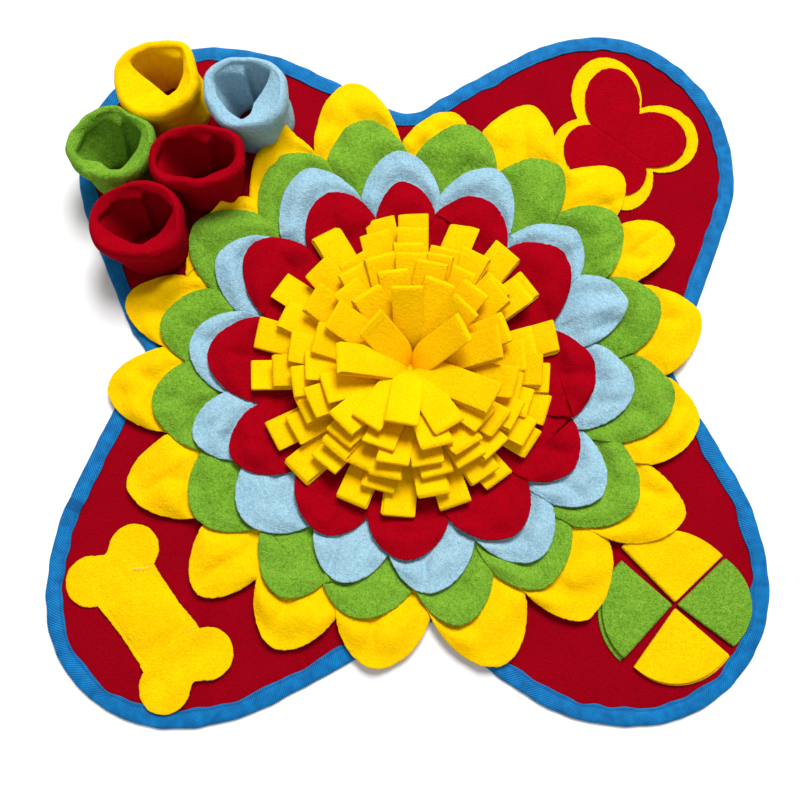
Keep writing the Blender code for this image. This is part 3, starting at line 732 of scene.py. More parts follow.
GREEN_PETALS = (
    Petal(5, 220, 16, 257, 1.4), Petal(26, 222, 37.5, 264, 1.0), Petal(47, 225, 54.5, 264, 1.8),
    Petal(66, 226, 76, 266, 1.2), Petal(88.5, 218, 99, 267, 1.6), Petal(110, 232, 119, 257, 1.0),
    Petal(132, 219, 144.5, 258, 1.2), Petal(156, 211, 168.5, 243, 1.6), Petal(177, 212, 187, 244, 1.0),
    Petal(201.5, 207, 215, 240, 1.4), Petal(227.5, 198, 241, 240, 1.8), Petal(249, 213, 258.5, 234, 1.0),
    Petal(272, 202, 282, 241, 1.6), Petal(293, 205, 302.5, 239, 1.8), Petal(316.5, 212, 329, 249, 1.0),
    Petal(341.5, 215, 354, 257, 1.4),
)
BLUE_PETALS = (
    Petal(9.5, 186, 19.5, 227, 1.8), Petal(30, 198, 40, 221, 1.0), Petal(54, 176, 66.5, 228, 1.4),
    Petal(79.5, 188, 91.5, 229, 1.8), Petal(104, 186, 116, 232, 1.2), Petal(132, 184, 146.5, 220, 1.6),
    Petal(159, 177, 172, 211, 1.0), Petal(186, 176, 197, 211, 1.4), Petal(209, 172, 223, 206, 1.8),
    Petal(239, 166, 252.5, 206, 1.2), Petal(264.5, 171, 276, 208, 1.0), Petal(292, 170, 305, 214, 1.4),
    Petal(317.5, 185, 327.5, 217, 1.8), Petal(342, 176, 356, 218, 1.2),
)
RED_PETALS = (
    Petal(-15, 164, 1, 182, 1.0), Petal(19, 144, 38.5, 197, 1.6), Petal(52, 162, 66, 195, 1.2),
    Petal(80, 168, 91, 197, 1.8), Petal(100.5, 163, 113, 201, 1.4), Petal(127, 163, 140, 200, 1.8),
    Petal(157, 149, 174, 192, 1.0), Petal(191, 143, 206, 183, 1.4), Petal(221.5, 137, 242, 171, 1.8),
    Petal(255, 141, 270, 176, 1.2), Petal(286, 144, 303.5, 183, 1.6), Petal(318, 153, 331, 182, 1.2),
)
print("petals:", sum(map(len, (YELLOW_PETALS, GREEN_PETALS, BLUE_PETALS, RED_PETALS))))

# %% [markdown]
# Each ring has its seam on the mat, a climb over the roots of the ring below it, and a table of
# the petals that lie on it in turn.

# %% The four rings
Ring = namedtuple("Ring", "node cloth slot root back heights droop petals above")
# root: radius of the seam in mm; back: y of the ring's middle; heights: radii in mm, each with how
# high the ring has climbed there; droop: how far its tips sink; above: the petals that lie on it
RINGS = (
    Ring("petals_yellow", "yellow", "yellow_fleece", 200, 0,
         ((200, 4.3), (206, 4.8), (222, 8.2), (240, 9.8), (320, 9.8)), 2.2, YELLOW_PETALS,
         GREEN_PETALS),
    Ring("petals_green", "green", "green_fleece", 165, -2,
         ((165, 4.3), (172, 4.8), (190, 7.6), (205, 9.2), (222, 13.0), (240, 16.4), (275, 16.8)),
         1.2, GREEN_PETALS, BLUE_PETALS),
    Ring("petals_blue", "blue", "light_blue_fleece", 135, -3,
         ((135, 4.3), (142, 4.8), (158, 7.4), (170, 9.0), (190, 12.6), (205, 14.6), (222, 18.6),
          (240, 20.6)), 1.0, BLUE_PETALS, RED_PETALS),
    Ring("petals_red", "red", "red_fleece", 105, -4,
         ((105, 4.3), (112, 4.8), (128, 7.4), (140, 9.0), (158, 12.8), (170, 14.6), (190, 18.2),
          (205, 20.0)), 0.9, RED_PETALS, None),
)
print("rings:", ", ".join(f"{len(ring.petals)} {ring.cloth}" for ring in RINGS))

# %% [markdown]
# ## Folds
#
# The petals are soft, and each lies in its own way.  A short table gives the folds, dents and
# turned-up edges that the photograph shows, each at its own place on one ring.

# %% Folds of single petals
Fold = namedtuple("Fold", "node at radius across along turn height")
# at, radius: its middle in degrees and mm; across, along: its half width and half length in mm;
# turn: the way that its length points, in degrees from the ring's radius; height: how high it stands
FOLDS = (
    Fold("petals_yellow", 116.5, 286, 12, 16, 0, 22),
    Fold("petals_yellow", 124, 262, 14, 22, 70, 10),
    Fold("petals_yellow", 138, 258, 9, 26, 90, 15),
    Fold("petals_yellow", 150, 256, 9, 16, 90, 8),
    Fold("petals_yellow", 160, 246, 9, 13, 80, 9),
    Fold("petals_yellow", 40, 270, 5, 24, -8, -3.5),
    Fold("petals_yellow", 29, 272, 5, 24, 8, -3.0),
    Fold("petals_yellow", 63, 268, 6, 24, 30, -3.5),
    Fold("petals_yellow", 205, 252, 6, 26, 8, -3.6),
    Fold("petals_yellow", 227, 256, 7, 24, -12, -3.4),
    Fold("petals_yellow", 307, 262, 9, 30, 65, -4.0),
    Fold("petals_yellow", 184, 262, 8, 20, 35, -2.6),
    Fold("petals_yellow", 331, 268, 8, 26, 70, -3.0),
    Fold("petals_green", 31, 246, 5, 24, 10, -4.0),
    Fold("petals_green", 51, 246, 5, 28, 10, -4.0),
    Fold("petals_green", 99, 240, 7, 20, -30, -2.8),
    Fold("petals_green", 136, 238, 6, 20, 20, -2.8),
    Fold("petals_green", 187, 226, 7, 22, -30, -2.8),
    Fold("petals_green", 233, 222, 5, 26, 8, -4.0),
    Fold("petals_green", 214, 226, 7, 20, 60, -2.4),
    Fold("petals_blue", 13.5, 205, 4.5, 30, 4, -5.0),
    Fold("petals_blue", 18, 206, 5, 26, 4, 3.0),
    Fold("petals_blue", 352, 196, 6, 26, 10, -3.4),
    Fold("petals_blue", 92, 210, 7, 20, 30, -2.6),
    Fold("petals_blue", 140, 200, 7, 20, -20, -2.8),
    Fold("petals_blue", 196, 194, 6, 24, 25, -3.2),
    Fold("petals_blue", 249, 190, 4, 24, 6, -3.6),
    Fold("petals_blue", 275, 192, 5, 24, -8, -3.0),
    Fold("petals_red", 352, 172, 4, 22, 65, 5.0),
    Fold("petals_red", 347, 168, 4, 24, 60, -3.5),
    Fold("petals_red", 128, 168, 6, 20, 25, -2.4),
    Fold("petals_red", 214, 158, 7, 18, -25, -2.2),
)
print("folds:", len(FOLDS))

# %% [markdown]
# Two helpers come before a petal's height: the climb of its ring with its corners rounded, and how
# far a ring reaches in every direction, which says where it stops holding the next one down.

# %% Climb and reach of a ring
PETAL_FULLNESS = 0.86   # power that squares the end of a petal's curve a little


def smooth_profile(radius, pairs, soften=14.0):
    """The height at a radius: straight lines between the pairs, with their corners rounded."""
    spots = np.linspace(-soften, soften, 9)
    weight = np.cos(spots / soften * math.pi / 2) ** 2
    places, levels = zip(*pairs)
    values = [share * np.interp(radius + spot, places, levels) for spot, share in zip(spots, weight)]
    return sum(values) / weight.sum()


def ring_reach(petals, angle):
    """How far a ring of petals reaches at each angle: from the tip it falls with a power of the
    angle, the first petal's for all, down to the valley on that side."""
    start, valley, tip, reach = np.array([petal[:4] for petal in petals], float).T
    angle = (angle - start[0]) % 360 + start[0]
    at = np.searchsorted(start, angle, side="right") - 1
    following = (at + 1) % len(start)
    end = start[following] + 360 * (following == 0)
    rising = angle < tip[at]
    share = np.where(rising, (tip[at] - angle) / (tip[at] - start[at]), (angle - tip[at]) / (end - tip[at]))
    low = np.where(rising, valley[at], valley[following])
    return low + (reach[at] - low) * np.clip(1 - share ** petals[0].power, 0, 1) ** PETAL_FULLNESS


for ring in RINGS:
    every_degree = ring_reach(ring.petals, np.arange(360.0))
    print(ring.cloth, "reaches from", round(every_degree.min()), "to", round(every_degree.max()), "mm")

# %% [markdown]
# The height of a petal adds up: the ring's own climb, a crown across the petal, a puff where the
# ring above no longer holds it down, the lap that puts its first side over its neighbour and its
# last side under the next one, a droop at the tip, slow waves, the folds of the table and one
# small dimple that is different on every petal.  A hyperbolic tangent keeps the sum from sinking
# far into the ring below.

# %% Height of a petal
PUFF = 4.6              # mm that a petal stands up between the next ring's edge and its own
POMPOM_EDGE = 150.0     # radius in mm up to which the pompom lies on the red petals
DENT = 1.9              # mm that a fold may sink below the ring's own climb
LAP = 1.25              # mm that a petal's sides stand over and under its neighbours
# least and most of a petal's crown, droop, tilt and waves, and of its dimple's degrees aside, half
# width, half length, turn and height
PETAL_RANGES = ((0.4, 2.0), (0.6, 1.2), (-0.8, 0.8), (0.8, 1.8))
DIMPLE_RANGES = ((-4, 4), (5, 8), (12, 18), (-40, 40), (-4.4, -2.4))


def along_and_aside(x, y, start, heading):
    """Distances along a line from its start, and to the left of it."""
    along = (x - start[0]) * heading[0] + (y - start[1]) * heading[1]
    aside = (y - start[1]) * heading[0] - (x - start[0]) * heading[1]
    return along, aside


def petal_height(ring, petal, end, number):
    """The function of x and y that gives one petal's middle surface: the climb at that radius, the
    lap from its first side to its last, and all that makes it rise or sink."""
    rng = np.random.default_rng((ring.root, number))
    crown, droop, tilt, wave = rng.uniform(*zip(*PETAL_RANGES))
    folds = [fold for fold in FOLDS if fold.node == ring.node
             and abs(turned_from(fold.at, (petal.start + end) / 2)) < (end - petal.start) / 2 + 6]
    aside, across, along, turn, depth = rng.uniform(*zip(*DIMPLE_RANGES))
    tucked = ring_reach(ring.above, np.array(petal.tip)) if ring.above else POMPOM_EDGE
    spot = tucked + 0.25 * (petal.reach - tucked)
    folds.append(Fold(ring.node, petal.tip + aside, spot, across, along, turn, depth))

    def height(x, y):
        radius = np.hypot(x, y - ring.back)
        angle = np.degrees(np.arctan2(y - ring.back, x))
        across = turned_from(angle, (petal.start + end) / 2) / (end - petal.start) + 0.5
        out = np.clip((radius - ring.root) / (petal.reach - ring.root), 0, 1.1)
        rise = (petal.lift + crown) * np.sin(math.pi * np.clip(across, 0, 1)) ** 2 * out ** 2
        rise += tilt * (across - 0.5) * out - ring.droop * droop * ramp(out, 0.55, 1.05)
        cover = ring_reach(ring.above, angle) + 2 if ring.above else POMPOM_EDGE
        width = np.maximum(ring_reach(ring.petals, angle) - cover, 12)
        shown = np.clip((radius - cover) / width, 0, 1)
        rise += PUFF * np.minimum(width / 30, 1) * np.sin(math.pi * shown ** 0.8) ** 2
        rise += wave * ripples(x, y, 36, seed=(ring.root, number, 1)) * ramp(out, 0.1, 0.6)
        rise += 0.12 * ripples(x, y, 11, seed=(ring.root, number, 2))
        for fold in folds:
            spot = polar(math.radians(fold.at)) * fold.radius + (0, ring.back)
            along, aside = along_and_aside(x, y, spot, polar(math.radians(fold.at + fold.turn)))
            rise += fold.height * bell(along, 0, fold.along) * bell(aside, 0, fold.across)
        rise = np.where(rise < 0, DENT * np.tanh(rise / DENT), rise)
        return smooth_profile(radius, ring.heights) + LAP * (1 - 2 * across) + rise

    return height


print("a petal's dimple is at most", -DIMPLE_RANGES[-1][0], "mm deep")

# %% [markdown]
# A petal's cut line is a rounded shape in polar form: from the tip the reach falls with a power of
# the angle, down to the valleys of the band on both sides.  Straight sides run on to the root, a
# little wider than the petal's place so that it laps its neighbours.

# %% Cut and lay the petals
PETAL_THICKNESS = 2.0
LAP_REACH = 1.6         # degrees that a petal laps its neighbours by
LEAST_AREA = 0.301      # least share of its square taken for a ring's area


def petal_outline(ring, petal, following):
    """From valley to valley, then down one side, along the root and up the other side.

    At a share s of the way from the tip to a side, the petal reaches past the valley by 1 minus
    s to the power, all to the fullness.  The shares follow a sine, so that points crowd at the
    valleys.
    """
    end = following.start + 360 * (following.start < petal.start)
    turn = np.linspace(-1, 1, 56)
    step = np.sin(math.pi / 2 * turn)
    side = np.where(step < 0, petal.tip - petal.start, end - petal.tip)
    valley = np.where(step < 0, petal.valley, following.valley)
    out = np.clip(1 - np.abs(step) ** petal.power, 0, 1) ** PETAL_FULLNESS
    down = np.linspace(0, 1, 12)
    half = (end - petal.start) / 2
    angle = np.concatenate((petal.tip + side * step,
                            end + LAP_REACH * np.sin(math.pi * 0.75 * down[1:]),
                            petal.start + half + np.linspace(half, -half, 12)[1:-1],
                            petal.start - LAP_REACH * np.sin(math.pi * 0.75 * down[:0:-1])))
    radius = np.concatenate((valley + (petal.reach - valley) * out,
                             following.valley + (ring.root - following.valley) * down[1:],
                             np.full(10, ring.root),
                             ring.root + (petal.valley - ring.root) * down[:-1]))
    return polar(np.radians(angle)) * radius[:, None] + (0, ring.back)


for ring in RINGS:
    shells = []
    cut_area = 0.0
    for number, petal in enumerate(ring.petals):
        following = ring.petals[(number + 1) % len(ring.petals)]
        end = following.start + 360 * (following.start < petal.start)
        cut = petal_outline(ring, petal, following)
        middle = polar(math.radians(petal.tip)) * (ring.root * 0.45 + petal.reach * 0.55) + (0, ring.back)
        cut_area += outline_area(cut)
        shells.append(cloth_patch(cut, middle, petal_height(ring, petal, end, number),
                                  PETAL_THICKNESS, seed=(ring.root, number, 3)))
    piece = add_piece(f"ring_{ring.cloth}", shells, FLEECE[ring.cloth], [ring.node], ring.slot)
    reach = 2 * max(petal.reach for petal in ring.petals) * MM
    max(cut_area, LEAST_AREA * reach * reach)

# %% [markdown]
# ## The pompom
#
# Strips of fleece thirty millimetres wide are folded double and sewn down by their ends in six
# rows.  A loop stands up from its root and leans outwards on the row below, so its long face slopes
# down to the middle of the pompom, and one sees a step at every tip.  Where each tip lies is in the
# table, and small seeded faults make no two loops the same.

# %% Rows of folded strips
LoopRow = namedtuple("LoopRow", "root height tips")
# root, height: the row's seam radius and the height of its tips in mm; each tip: its direction in
# degrees and its reach in mm, from the pompom's middle
LOOP_ROWS = (
    LoopRow(5, 58, ((25, 54), (137, 48), (184, 65), (237, 73), (261, 63), (300, 73), (330, 84))),
    LoopRow(18, 51, ((45, 70), (68, 78), (93, 65), (122, 74), (151, 81), (199, 83), (225, 88),
                     (251, 86), (285, 85), (318, 88), (8, 82))),
    LoopRow(32, 43.5, ((20, 92), (48, 92), (78, 94), (89, 102), (101, 85), (132, 92), (166, 89), (184, 96),
                     (205, 100), (230, 98), (262, 98), (280, 98), (303, 96), (322, 101), (345, 97))),
    LoopRow(48, 35, ((4, 106), (19, 96), (38, 108), (60, 103), (76, 106), (91, 116), (107, 106),
                       (123, 106), (148, 111), (173, 112), (190, 110), (206, 110), (230, 109), (245, 108),
                       (259, 110), (284, 108), (300, 108), (313, 113), (331, 110), (347, 104))),
    LoopRow(65, 26, ((10, 118), (35, 131), (43, 116), (60, 126), (72, 118), (88, 135), (106, 133),
                     (118, 118), (134, 130), (158, 130), (183, 128), (210, 125), (231, 124), (256, 121),
                     (280, 125), (303, 126), (328, 128), (340, 117), (357, 122))),
    LoopRow(83, 17, ((11, 141), (34, 141), (50, 149), (70, 151), (88, 152), (101, 151), (122, 156),
                     (147, 149), (168, 149), (184, 150), (208, 145), (225, 147), (247, 140), (266, 141),
                     (288, 138), (306, 136), (326, 136), (342, 135), (354, 131))),
)
LOOP_SEED = 5
LOOP_STEP = 0.055       # share by which every second loop of a row is higher, and the others lower
LOOP_FAULTS = (0.6, 11.0, 3.0, 2.4)     # most by which its height, roll, sway and slip are off


def loop_table():
    """One row of numbers for each loop: root, reach, height, angle, and its own small faults.

    A fault is a roll about its length in degrees, a sway of its tip to one side, and a slip of the
    upper layer over the lower one, both in mm.
    """
    rng = np.random.default_rng(LOOP_SEED)
    rows = []
    for row in LOOP_ROWS:
        angle, reach = np.array(row.tips, float).T
        count = len(angle)
        step = np.where(np.arange(count) % 2, -LOOP_STEP, LOOP_STEP)
        error, roll, sway, slip = (rng.uniform(-most, most, count) for most in LOOP_FAULTS)
        root = np.full(count, float(row.root))
        height = row.height * (1 + step) + error
        rows.append(np.column_stack((root, reach, height, angle, roll, sway, slip)))
    return np.concatenate(rows)


print("loops:", len(loop_table()))

# %% [markdown]
# A loop is one bar carried along a path.  The path runs out from the root along the lower layer,
# round the fold at the tip, and back along the upper layer.  All loops are worked out together,
# as arrays whose first axis is the loop.

# %% Loops as bars along a path
POMPOM_MIDDLE = (4, 4, 0)
BACKING_TOP = FELT_TOP + 3.0
STRIP_WIDTH = 30.0
STRIP_THICKNESS = 1.9
ROOT_PLEAT = (13, 0.6)          # mm, and share of the root's radius: width where it is sewn down
LAYER_GAP = (0.9, 1.5, 2.0)     # half the distance between the layers: root, middle, fold
PATH_OUT = (0.05, 0.55)         # how far out the curve's two handles lie, from root to tip
PATH_UP = (0.36, 0.64)          # and how high
LOOP_STATIONS = 20
FOLD_STATIONS = 7
STRIP_CORNERS = 18
SQUARENESS = 0.45               # 1 makes an oval section, and less a squarer one


def strip_section():
    """A rounded bar across the strip, all round: powers of a circle's cosine and sine."""
    turn = np.linspace(0, 2 * math.pi, STRIP_CORNERS, endpoint=False) + math.pi / STRIP_CORNERS
    wide = np.sign(np.cos(turn)) * np.abs(np.cos(turn)) ** SQUARENESS
    thick = np.sign(np.sin(turn)) * np.abs(np.sin(turn)) ** SQUARENESS
    return wide, thick


def build_loops(table):
    """The path of every loop as a cubic curve, thickened into a bar, as whole arrays.

    In the plane of a loop the middle line leaves the root steeply, leans outwards and levels out
    a little towards the tip.  The layers lie below and above it by the layer gap, and a half
    circle joins them at the tip.  The roll tilts the bar about its path by a tangent, and the sway
    moves it aside by the square of its share of the way.
    """
    root, reach, height, angle, roll, sway, slip = table.T[:, :, None]
    out_share = np.linspace(0, 1, LOOP_STATIONS)
    share = np.concatenate((out_share, np.ones(FOLD_STATIONS), out_share[::-1]))[None, :]
    fold = np.linspace(0, math.pi, FOLD_STATIONS + 2)[1:-1]
    side = np.concatenate((-np.ones(LOOP_STATIONS), -np.cos(fold), np.ones(LOOP_STATIONS)))[None, :]
    past = np.concatenate((np.zeros(LOOP_STATIONS), np.sin(fold), np.zeros(LOOP_STATIONS)))[None, :]
    low = BACKING_TOP - 1.0
    spread = reach - root
    weights = ((1 - share) ** 3, 3 * share * (1 - share) ** 2, 3 * share ** 2 * (1 - share), share ** 3)
    climb = height - low
    radial = (root, root + PATH_OUT[0] * spread, root + PATH_OUT[1] * spread, reach)
    levels = (low, low + PATH_UP[0] * climb, low + PATH_UP[1] * climb, height)
    run = sum(weight * value for weight, value in zip(weights, radial))
    rise = sum(weight * value for weight, value in zip(weights, levels))
    run_ahead = np.gradient(run[:, :LOOP_STATIONS], axis=1)
    rise_ahead = np.gradient(rise[:, :LOOP_STATIONS], axis=1)
    pick = np.concatenate((np.arange(LOOP_STATIONS), np.full(FOLD_STATIONS, LOOP_STATIONS - 1),
                           np.arange(LOOP_STATIONS)[::-1]))
    length = np.hypot(run_ahead, rise_ahead)
    ahead = np.stack((run_ahead / length, rise_ahead / length), axis=-1)[:, pick]
    above = np.stack((-ahead[..., 1], ahead[..., 0]), axis=-1)
    gap = np.interp(share, (0, 0.6, 1), LAYER_GAP)
    spot = np.stack((run, rise), axis=-1) + above * (gap * side)[..., None] + ahead * (gap * past)[..., None]
    spot += ahead * (slip * np.where(side > 0, 1.0, -0.3) * ramp(share, 0.2, 1.0))[..., None] * 0.5
    path_ahead = np.gradient(spot, axis=1)
    path_ahead /= np.linalg.norm(path_ahead, axis=-1, keepdims=True)
    path_above = np.stack((-path_ahead[..., 1], path_ahead[..., 0]), axis=-1)
    root_width = np.minimum(ROOT_PLEAT[1] * root + ROOT_PLEAT[0], STRIP_WIDTH)
    width = root_width + (STRIP_WIDTH - root_width) * ramp(share, 0.0, 0.45)
    wide, thick = strip_section()
    aside = width[..., None] / 2 * wide + (sway * share ** 2 + slip * side * 0.5 * share)[..., None]
    lift = STRIP_THICKNESS / 2 * thick
    tilt = np.tan(np.radians(roll * share))[..., None] * aside
    radius = spot[..., :1] + path_above[..., :1] * lift
    level = spot[..., 1:] + path_above[..., 1:] * lift + tilt
    outward = polar(np.radians(angle))[..., None, :]
    sideways = polar(np.radians(angle + 90))[..., None, :]
    flat = outward * radius[..., None] + sideways * aside[..., None]
    points = np.concatenate((flat, level[..., None]), axis=-1) + POMPOM_MIDDLE
    strip_length = np.linalg.norm(np.diff(spot, axis=1), axis=-1).sum()
    return points.transpose(0, 2, 1, 3), strip_length


loop_points, strip_length = build_loops(loop_table())
pompom = add_piece("pompom_loops", [skin(loop, "poles") for loop in loop_points], FLEECE["yellow"],
                   ["pompom"], "yellow_fleece")

# %% [markdown]
# The rows are sewn to a round patch, and the patch to the mat.  It hardly shows, but the loops
# have to stand on something.

# %% The patch that carries the loops
BACKING_RADIUS = 92.0
BACKING_CORNERS = 60
# radius and level of its section, from the middle underneath, round its edge, to the middle above
BACKING_SECTION = ((4.0, 3.4), (40.0, 3.4), (80.0, 3.4), (91.0, 3.4), (BACKING_RADIUS, 4.8),
                   (91.0, 6.2), (80.0, 6.3), (40.0, 6.3), (4.0, 6.3))
backing_turn = polar(np.linspace(0, 2 * math.pi, BACKING_CORNERS, endpoint=False))
backing = np.stack([np.column_stack((backing_turn * radius, np.full(BACKING_CORNERS, level)))
                    for radius, level in BACKING_SECTION], axis=1) + POMPOM_MIDDLE
pompom_base = add_piece("pompom_backing", [skin(backing, "poles")], FLEECE["yellow"], (),
                        "yellow_fleece")
strip_length * MM

# %% [markdown]
# ## Cups
#
# Each cup is a tube of fleece stood on end.  Its top is rolled outwards into a cuff, and because
# the tube is soft the cuff leans in at one side and nearly closes the mouth there.  Seen from
# above, two lines say it all: the outer line of the rim, given every thirty degrees, and the line
# of the mouth, given by its corners.

# %% Two lines for each cup
Cup = namedtuple("Cup", "node cloth slot x y height base foot pinch crease rim mouth")
# base: the foot's radius as a share of the rim's; foot: how far it stands off the rim's middle;
# pinch: how much of its inner radius is lost at the back; crease: degrees at which the inner wall
# folds; rim: radius in mm every 30 degrees from +X; mouth: degrees and mm of its corners
CUPS = (
    Cup("cup_yellow", "yellow", "yellow_fleece", -240, 279, 66, 0.90, (5, 2), 0.28, 62,
        (36, 37.5, 46, 44.5, 45, 47.5, 45.5, 45, 43, 39, 36, 36),
        ((21, 23), (60, 39), (97, 37), (126, 38), (151, 38), (158, 18), (246, 6), (296, 16), (334, 17))),
    Cup("cup_blue", "blue", "light_blue_fleece", -157, 264, 66, 0.88, (7, 2), 0.42, 100,
        (40, 43, 43, 40.5, 43, 45.5, 41.5, 38, 38, 38, 39, 40),
        ((34, 21), (45, 35), (89, 36), (126, 37), (148, 39), (180, 28), (223, 22), (265, 27), (285, 20),
         (322, 9))),
    Cup("cup_green", "green", "green_fleece", -283, 211, 65, 0.84, (0, 0), 0.74, 80,
        (41, 43, 38.5, 43, 42.5, 42.5, 44, 42, 38, 36.5, 38, 38.5),
        ((0, 25), (28, 32), (60, 30), (103, 37), (150, 33), (192, 35), (206, 33), (232, 19), (269, 24),
         (292, 25), (328, 21))),
    Cup("cup_red_inner", "red", "red_fleece", -200, 197, 65, 0.86, (0, 0), 0.55, 66,
        (45, 46, 38, 36.5, 39, 44, 48, 44, 34.5, 31, 33, 41),
        ((27, 37), (65, 28), (114, 29), (151, 36), (186, 41), (198, 36), (221, 26), (262, 20), (320, 20),
         (345, 31), (3, 36))),
    Cup("cup_red_outer", "red", "red_fleece", -250.5, 133, 66, 0.84, (0, 0), 0.55, 98,
        (40, 42, 42, 41.5, 43, 47, 49, 48, 41, 37.5, 40, 43.5),
        ((21, 33), (60, 31), (103, 34), (145, 35), (178, 41), (188, 36), (209, 27), (245, 22), (276, 23),
         (320, 20), (354, 23))),
)
CUP_AROUND = 160
print("cups:", ", ".join(f"{cup.cloth} {2 * np.mean(cup.rim):.0f} mm across" for cup in CUPS))

# %% [markdown]
# Few points make a line in two ways: straight from corner to corner for the mouth, where the cloth
# is creased, and by cubic pieces for the rim and for the section, where it is rolled.

# %% Lines through few points
def corner_line(corners, angle):
    """Where rays at these degrees cross the straight lines between corners, a little smoothed.

    Between two corners the distance is the product of their radii and the sine of the angle
    between them, over each radius times the sine of the angle from its own corner, added up.
    """
    degrees, radii = np.array(sorted(corners), float).T
    at = np.searchsorted(degrees, angle, side="right") - 1
    following = (at + 1) % len(degrees)
    gap = np.radians((degrees[following] - degrees[at]) % 360)
    past = np.radians((angle - degrees[at]) % 360)
    line = radii[at] * radii[following] * np.sin(gap) / (
        radii[at] * np.sin(past) + radii[following] * np.sin(gap - past))
    weights = (1, 2, 3, 3, 3, 2, 1)
    return sum(weight * np.roll(line, step - 3) for step, weight in enumerate(weights)) / sum(weights)


def cubic(before, this, after, beyond, part):
    """A cubic from this to after, whose slope at each is half the step between its neighbours."""
    bend = 2 * before - 5 * this + 4 * after - beyond + part * (3 * (this - after) + beyond - before)
    return this + 0.5 * part * (after - before + part * bend)


def round_line(values, angle):
    """A smooth closed line through values at equal steps, by cubic pieces."""
    values = np.array(values, float)
    place = angle / 360 * len(values)
    at = np.floor(place).astype(int)
    return cubic(*(values[(at + step) % len(values)] for step in (-1, 0, 1, 2)), place - at)


def smooth_path(knots, steps):
    """A smooth open line through knots of shape (count, ..., 2), with steps points to each piece."""
    padded = np.concatenate((2 * knots[:1] - knots[1:2], knots, 2 * knots[-1:] - knots[-2:-1]))
    part = (np.arange(steps) / steps).reshape(-1, *([1] * (knots.ndim - 1)))
    pieces = [cubic(*padded[at - 1:at + 3], part) for at in range(1, len(padded) - 2)]
    return np.concatenate(pieces + [padded[-2][None]])


print("halfway round a line of 40, 50, 60 and 50:", round_line((40, 50, 60, 50), np.array([180.0])))

# %% [markdown]
# The wall's section is worked out from the two lines: a wide rim sags towards the mouth and turns
# under, a narrow one is a plain roll.  Inside, the wall that faces the viewer comes in towards the
# foot, so that little of the floor of the cup shows.

# %% Cups
RIM_ROLL = 9.0          # mm across a rim that is only rolled
CUFF_DROP = 22.0        # mm from the top of the rim to the cuff's cut edge
WALL = 4.0
FAR_SIDE = 118.0        # degrees: away from the camera, seen from a cup
CREASE_DEPTH = 8.5
CREASE_SIDES = (32, 7)  # degrees over which a crease fades on its soft and its sharp side


def build_cup(cup, number):
    """The section at every angle, from the foot outside, over the rim, to the foot inside.

    Each knot of the section is a radius and a level for every angle.
    """
    angle = np.linspace(0, 360, CUP_AROUND, endpoint=False)
    rim = round_line(cup.rim, angle)
    mouth = corner_line(cup.mouth, angle)
    rim = rim + 0.35 * waves_round(angle, 360, 40, seed=(number, 1))
    mouth = np.minimum(mouth, rim - RIM_ROLL)
    lean = rim - mouth - RIM_ROLL
    foot = cup.base * (0.5 * rim + 0.5 * np.mean(rim))
    far = (0.5 + 0.5 * np.cos(np.radians(angle - FAR_SIDE))) ** 1.5
    sag = 0.30 * lean
    top = cup.height + 1.2 * waves_round(angle, 360, 150, seed=(number, 2)) - 0.05 * lean
    cuff = top - CUFF_DROP + 1.6 * waves_round(angle, 360, 70, seed=(number, 3))
    wall = foot + (rim - 5.0 - foot) * 0.8
    throat = np.minimum(mouth - 0.8 + 0.55 * lean, foot - WALL + 1)
    inside = (foot - WALL) * (1 - cup.pinch * far)
    middle = rim - 8.3 - 0.45 * lean
    knots = (
        # the foot and the wall outside
        (foot, np.full_like(rim, FELT_TOP)),
        (foot + 0.8, np.full_like(rim, 12.0)),
        (foot + (wall - foot) * 0.45, cuff * 0.55),
        (wall - 0.4, cuff + 1.0),
        # the cuff's cut edge, a small groove and a lip
        (wall + 0.2, cuff + 3.2),
        (wall + 1.0, cuff + 1.6),
        (wall + 1.8, cuff - 0.4),
        (wall + 3.0, cuff + 0.6),
        # the cuff and the roll of the rim
        (rim - 0.4, cuff + 7.0),
        (rim, top - 8.0),
        (rim - 0.9, top - 3.6),
        (rim - 3.0, top - 0.9),
        (rim - 5.4, top),
        (rim - 7.2, top - 0.9 - 0.08 * sag),
        # the sag towards the mouth
        (middle, top - 2.4 - 0.55 * sag),
        (mouth + 0.3, top - 4.4 - sag),
        (mouth, top - 6.8 - sag),
        (mouth - 0.3 + 0.1 * lean, top - 10.0 - sag),
        # the wall inside, down to the foot
        (throat, top - 16.0 - 1.2 * sag),
        (0.45 * throat + 0.55 * inside, 24.0 - 0.2 * sag),
        (inside + 1.0, np.full_like(rim, 11.0)),
        (inside, np.full_like(rim, FELT_TOP)),
    )
    section = smooth_path(np.array([np.stack(knot, axis=-1) for knot in knots]), 5)
    radius = section[..., 0]
    level = section[..., 1]
    deep = np.linspace(0, 1, len(section))[:, None]
    inner = ramp(deep, 0.68, 0.84)
    past = turned_from(angle, cup.crease)[None, :]
    crease = bell(past, 0, np.where(past > 0, *CREASE_SIDES)) * inner * ramp(1 - deep, 0.0, 0.1)
    lumps = ripples(angle[None, :] / 9, deep * 30, 9, seed=(number, 4)) * np.minimum(radius / 30, 1)
    radius = radius - CREASE_DEPTH * crease + lumps * 0.55 * ramp(level, FELT_TOP, 16.0)
    level = np.maximum(level, FELT_TOP)
    stand = np.array(cup.foot) * (1 - level / cup.height)[..., None]
    flat = polar(np.radians(angle))[None] * radius[..., None] + stand + (cup.x, cup.y)
    grid = np.concatenate((flat, level[..., None]), axis=-1).transpose(1, 0, 2)
    path = np.linalg.norm(np.diff(section, axis=0), axis=-1).sum(axis=0).mean()
    return skin(grid, "joined"), path


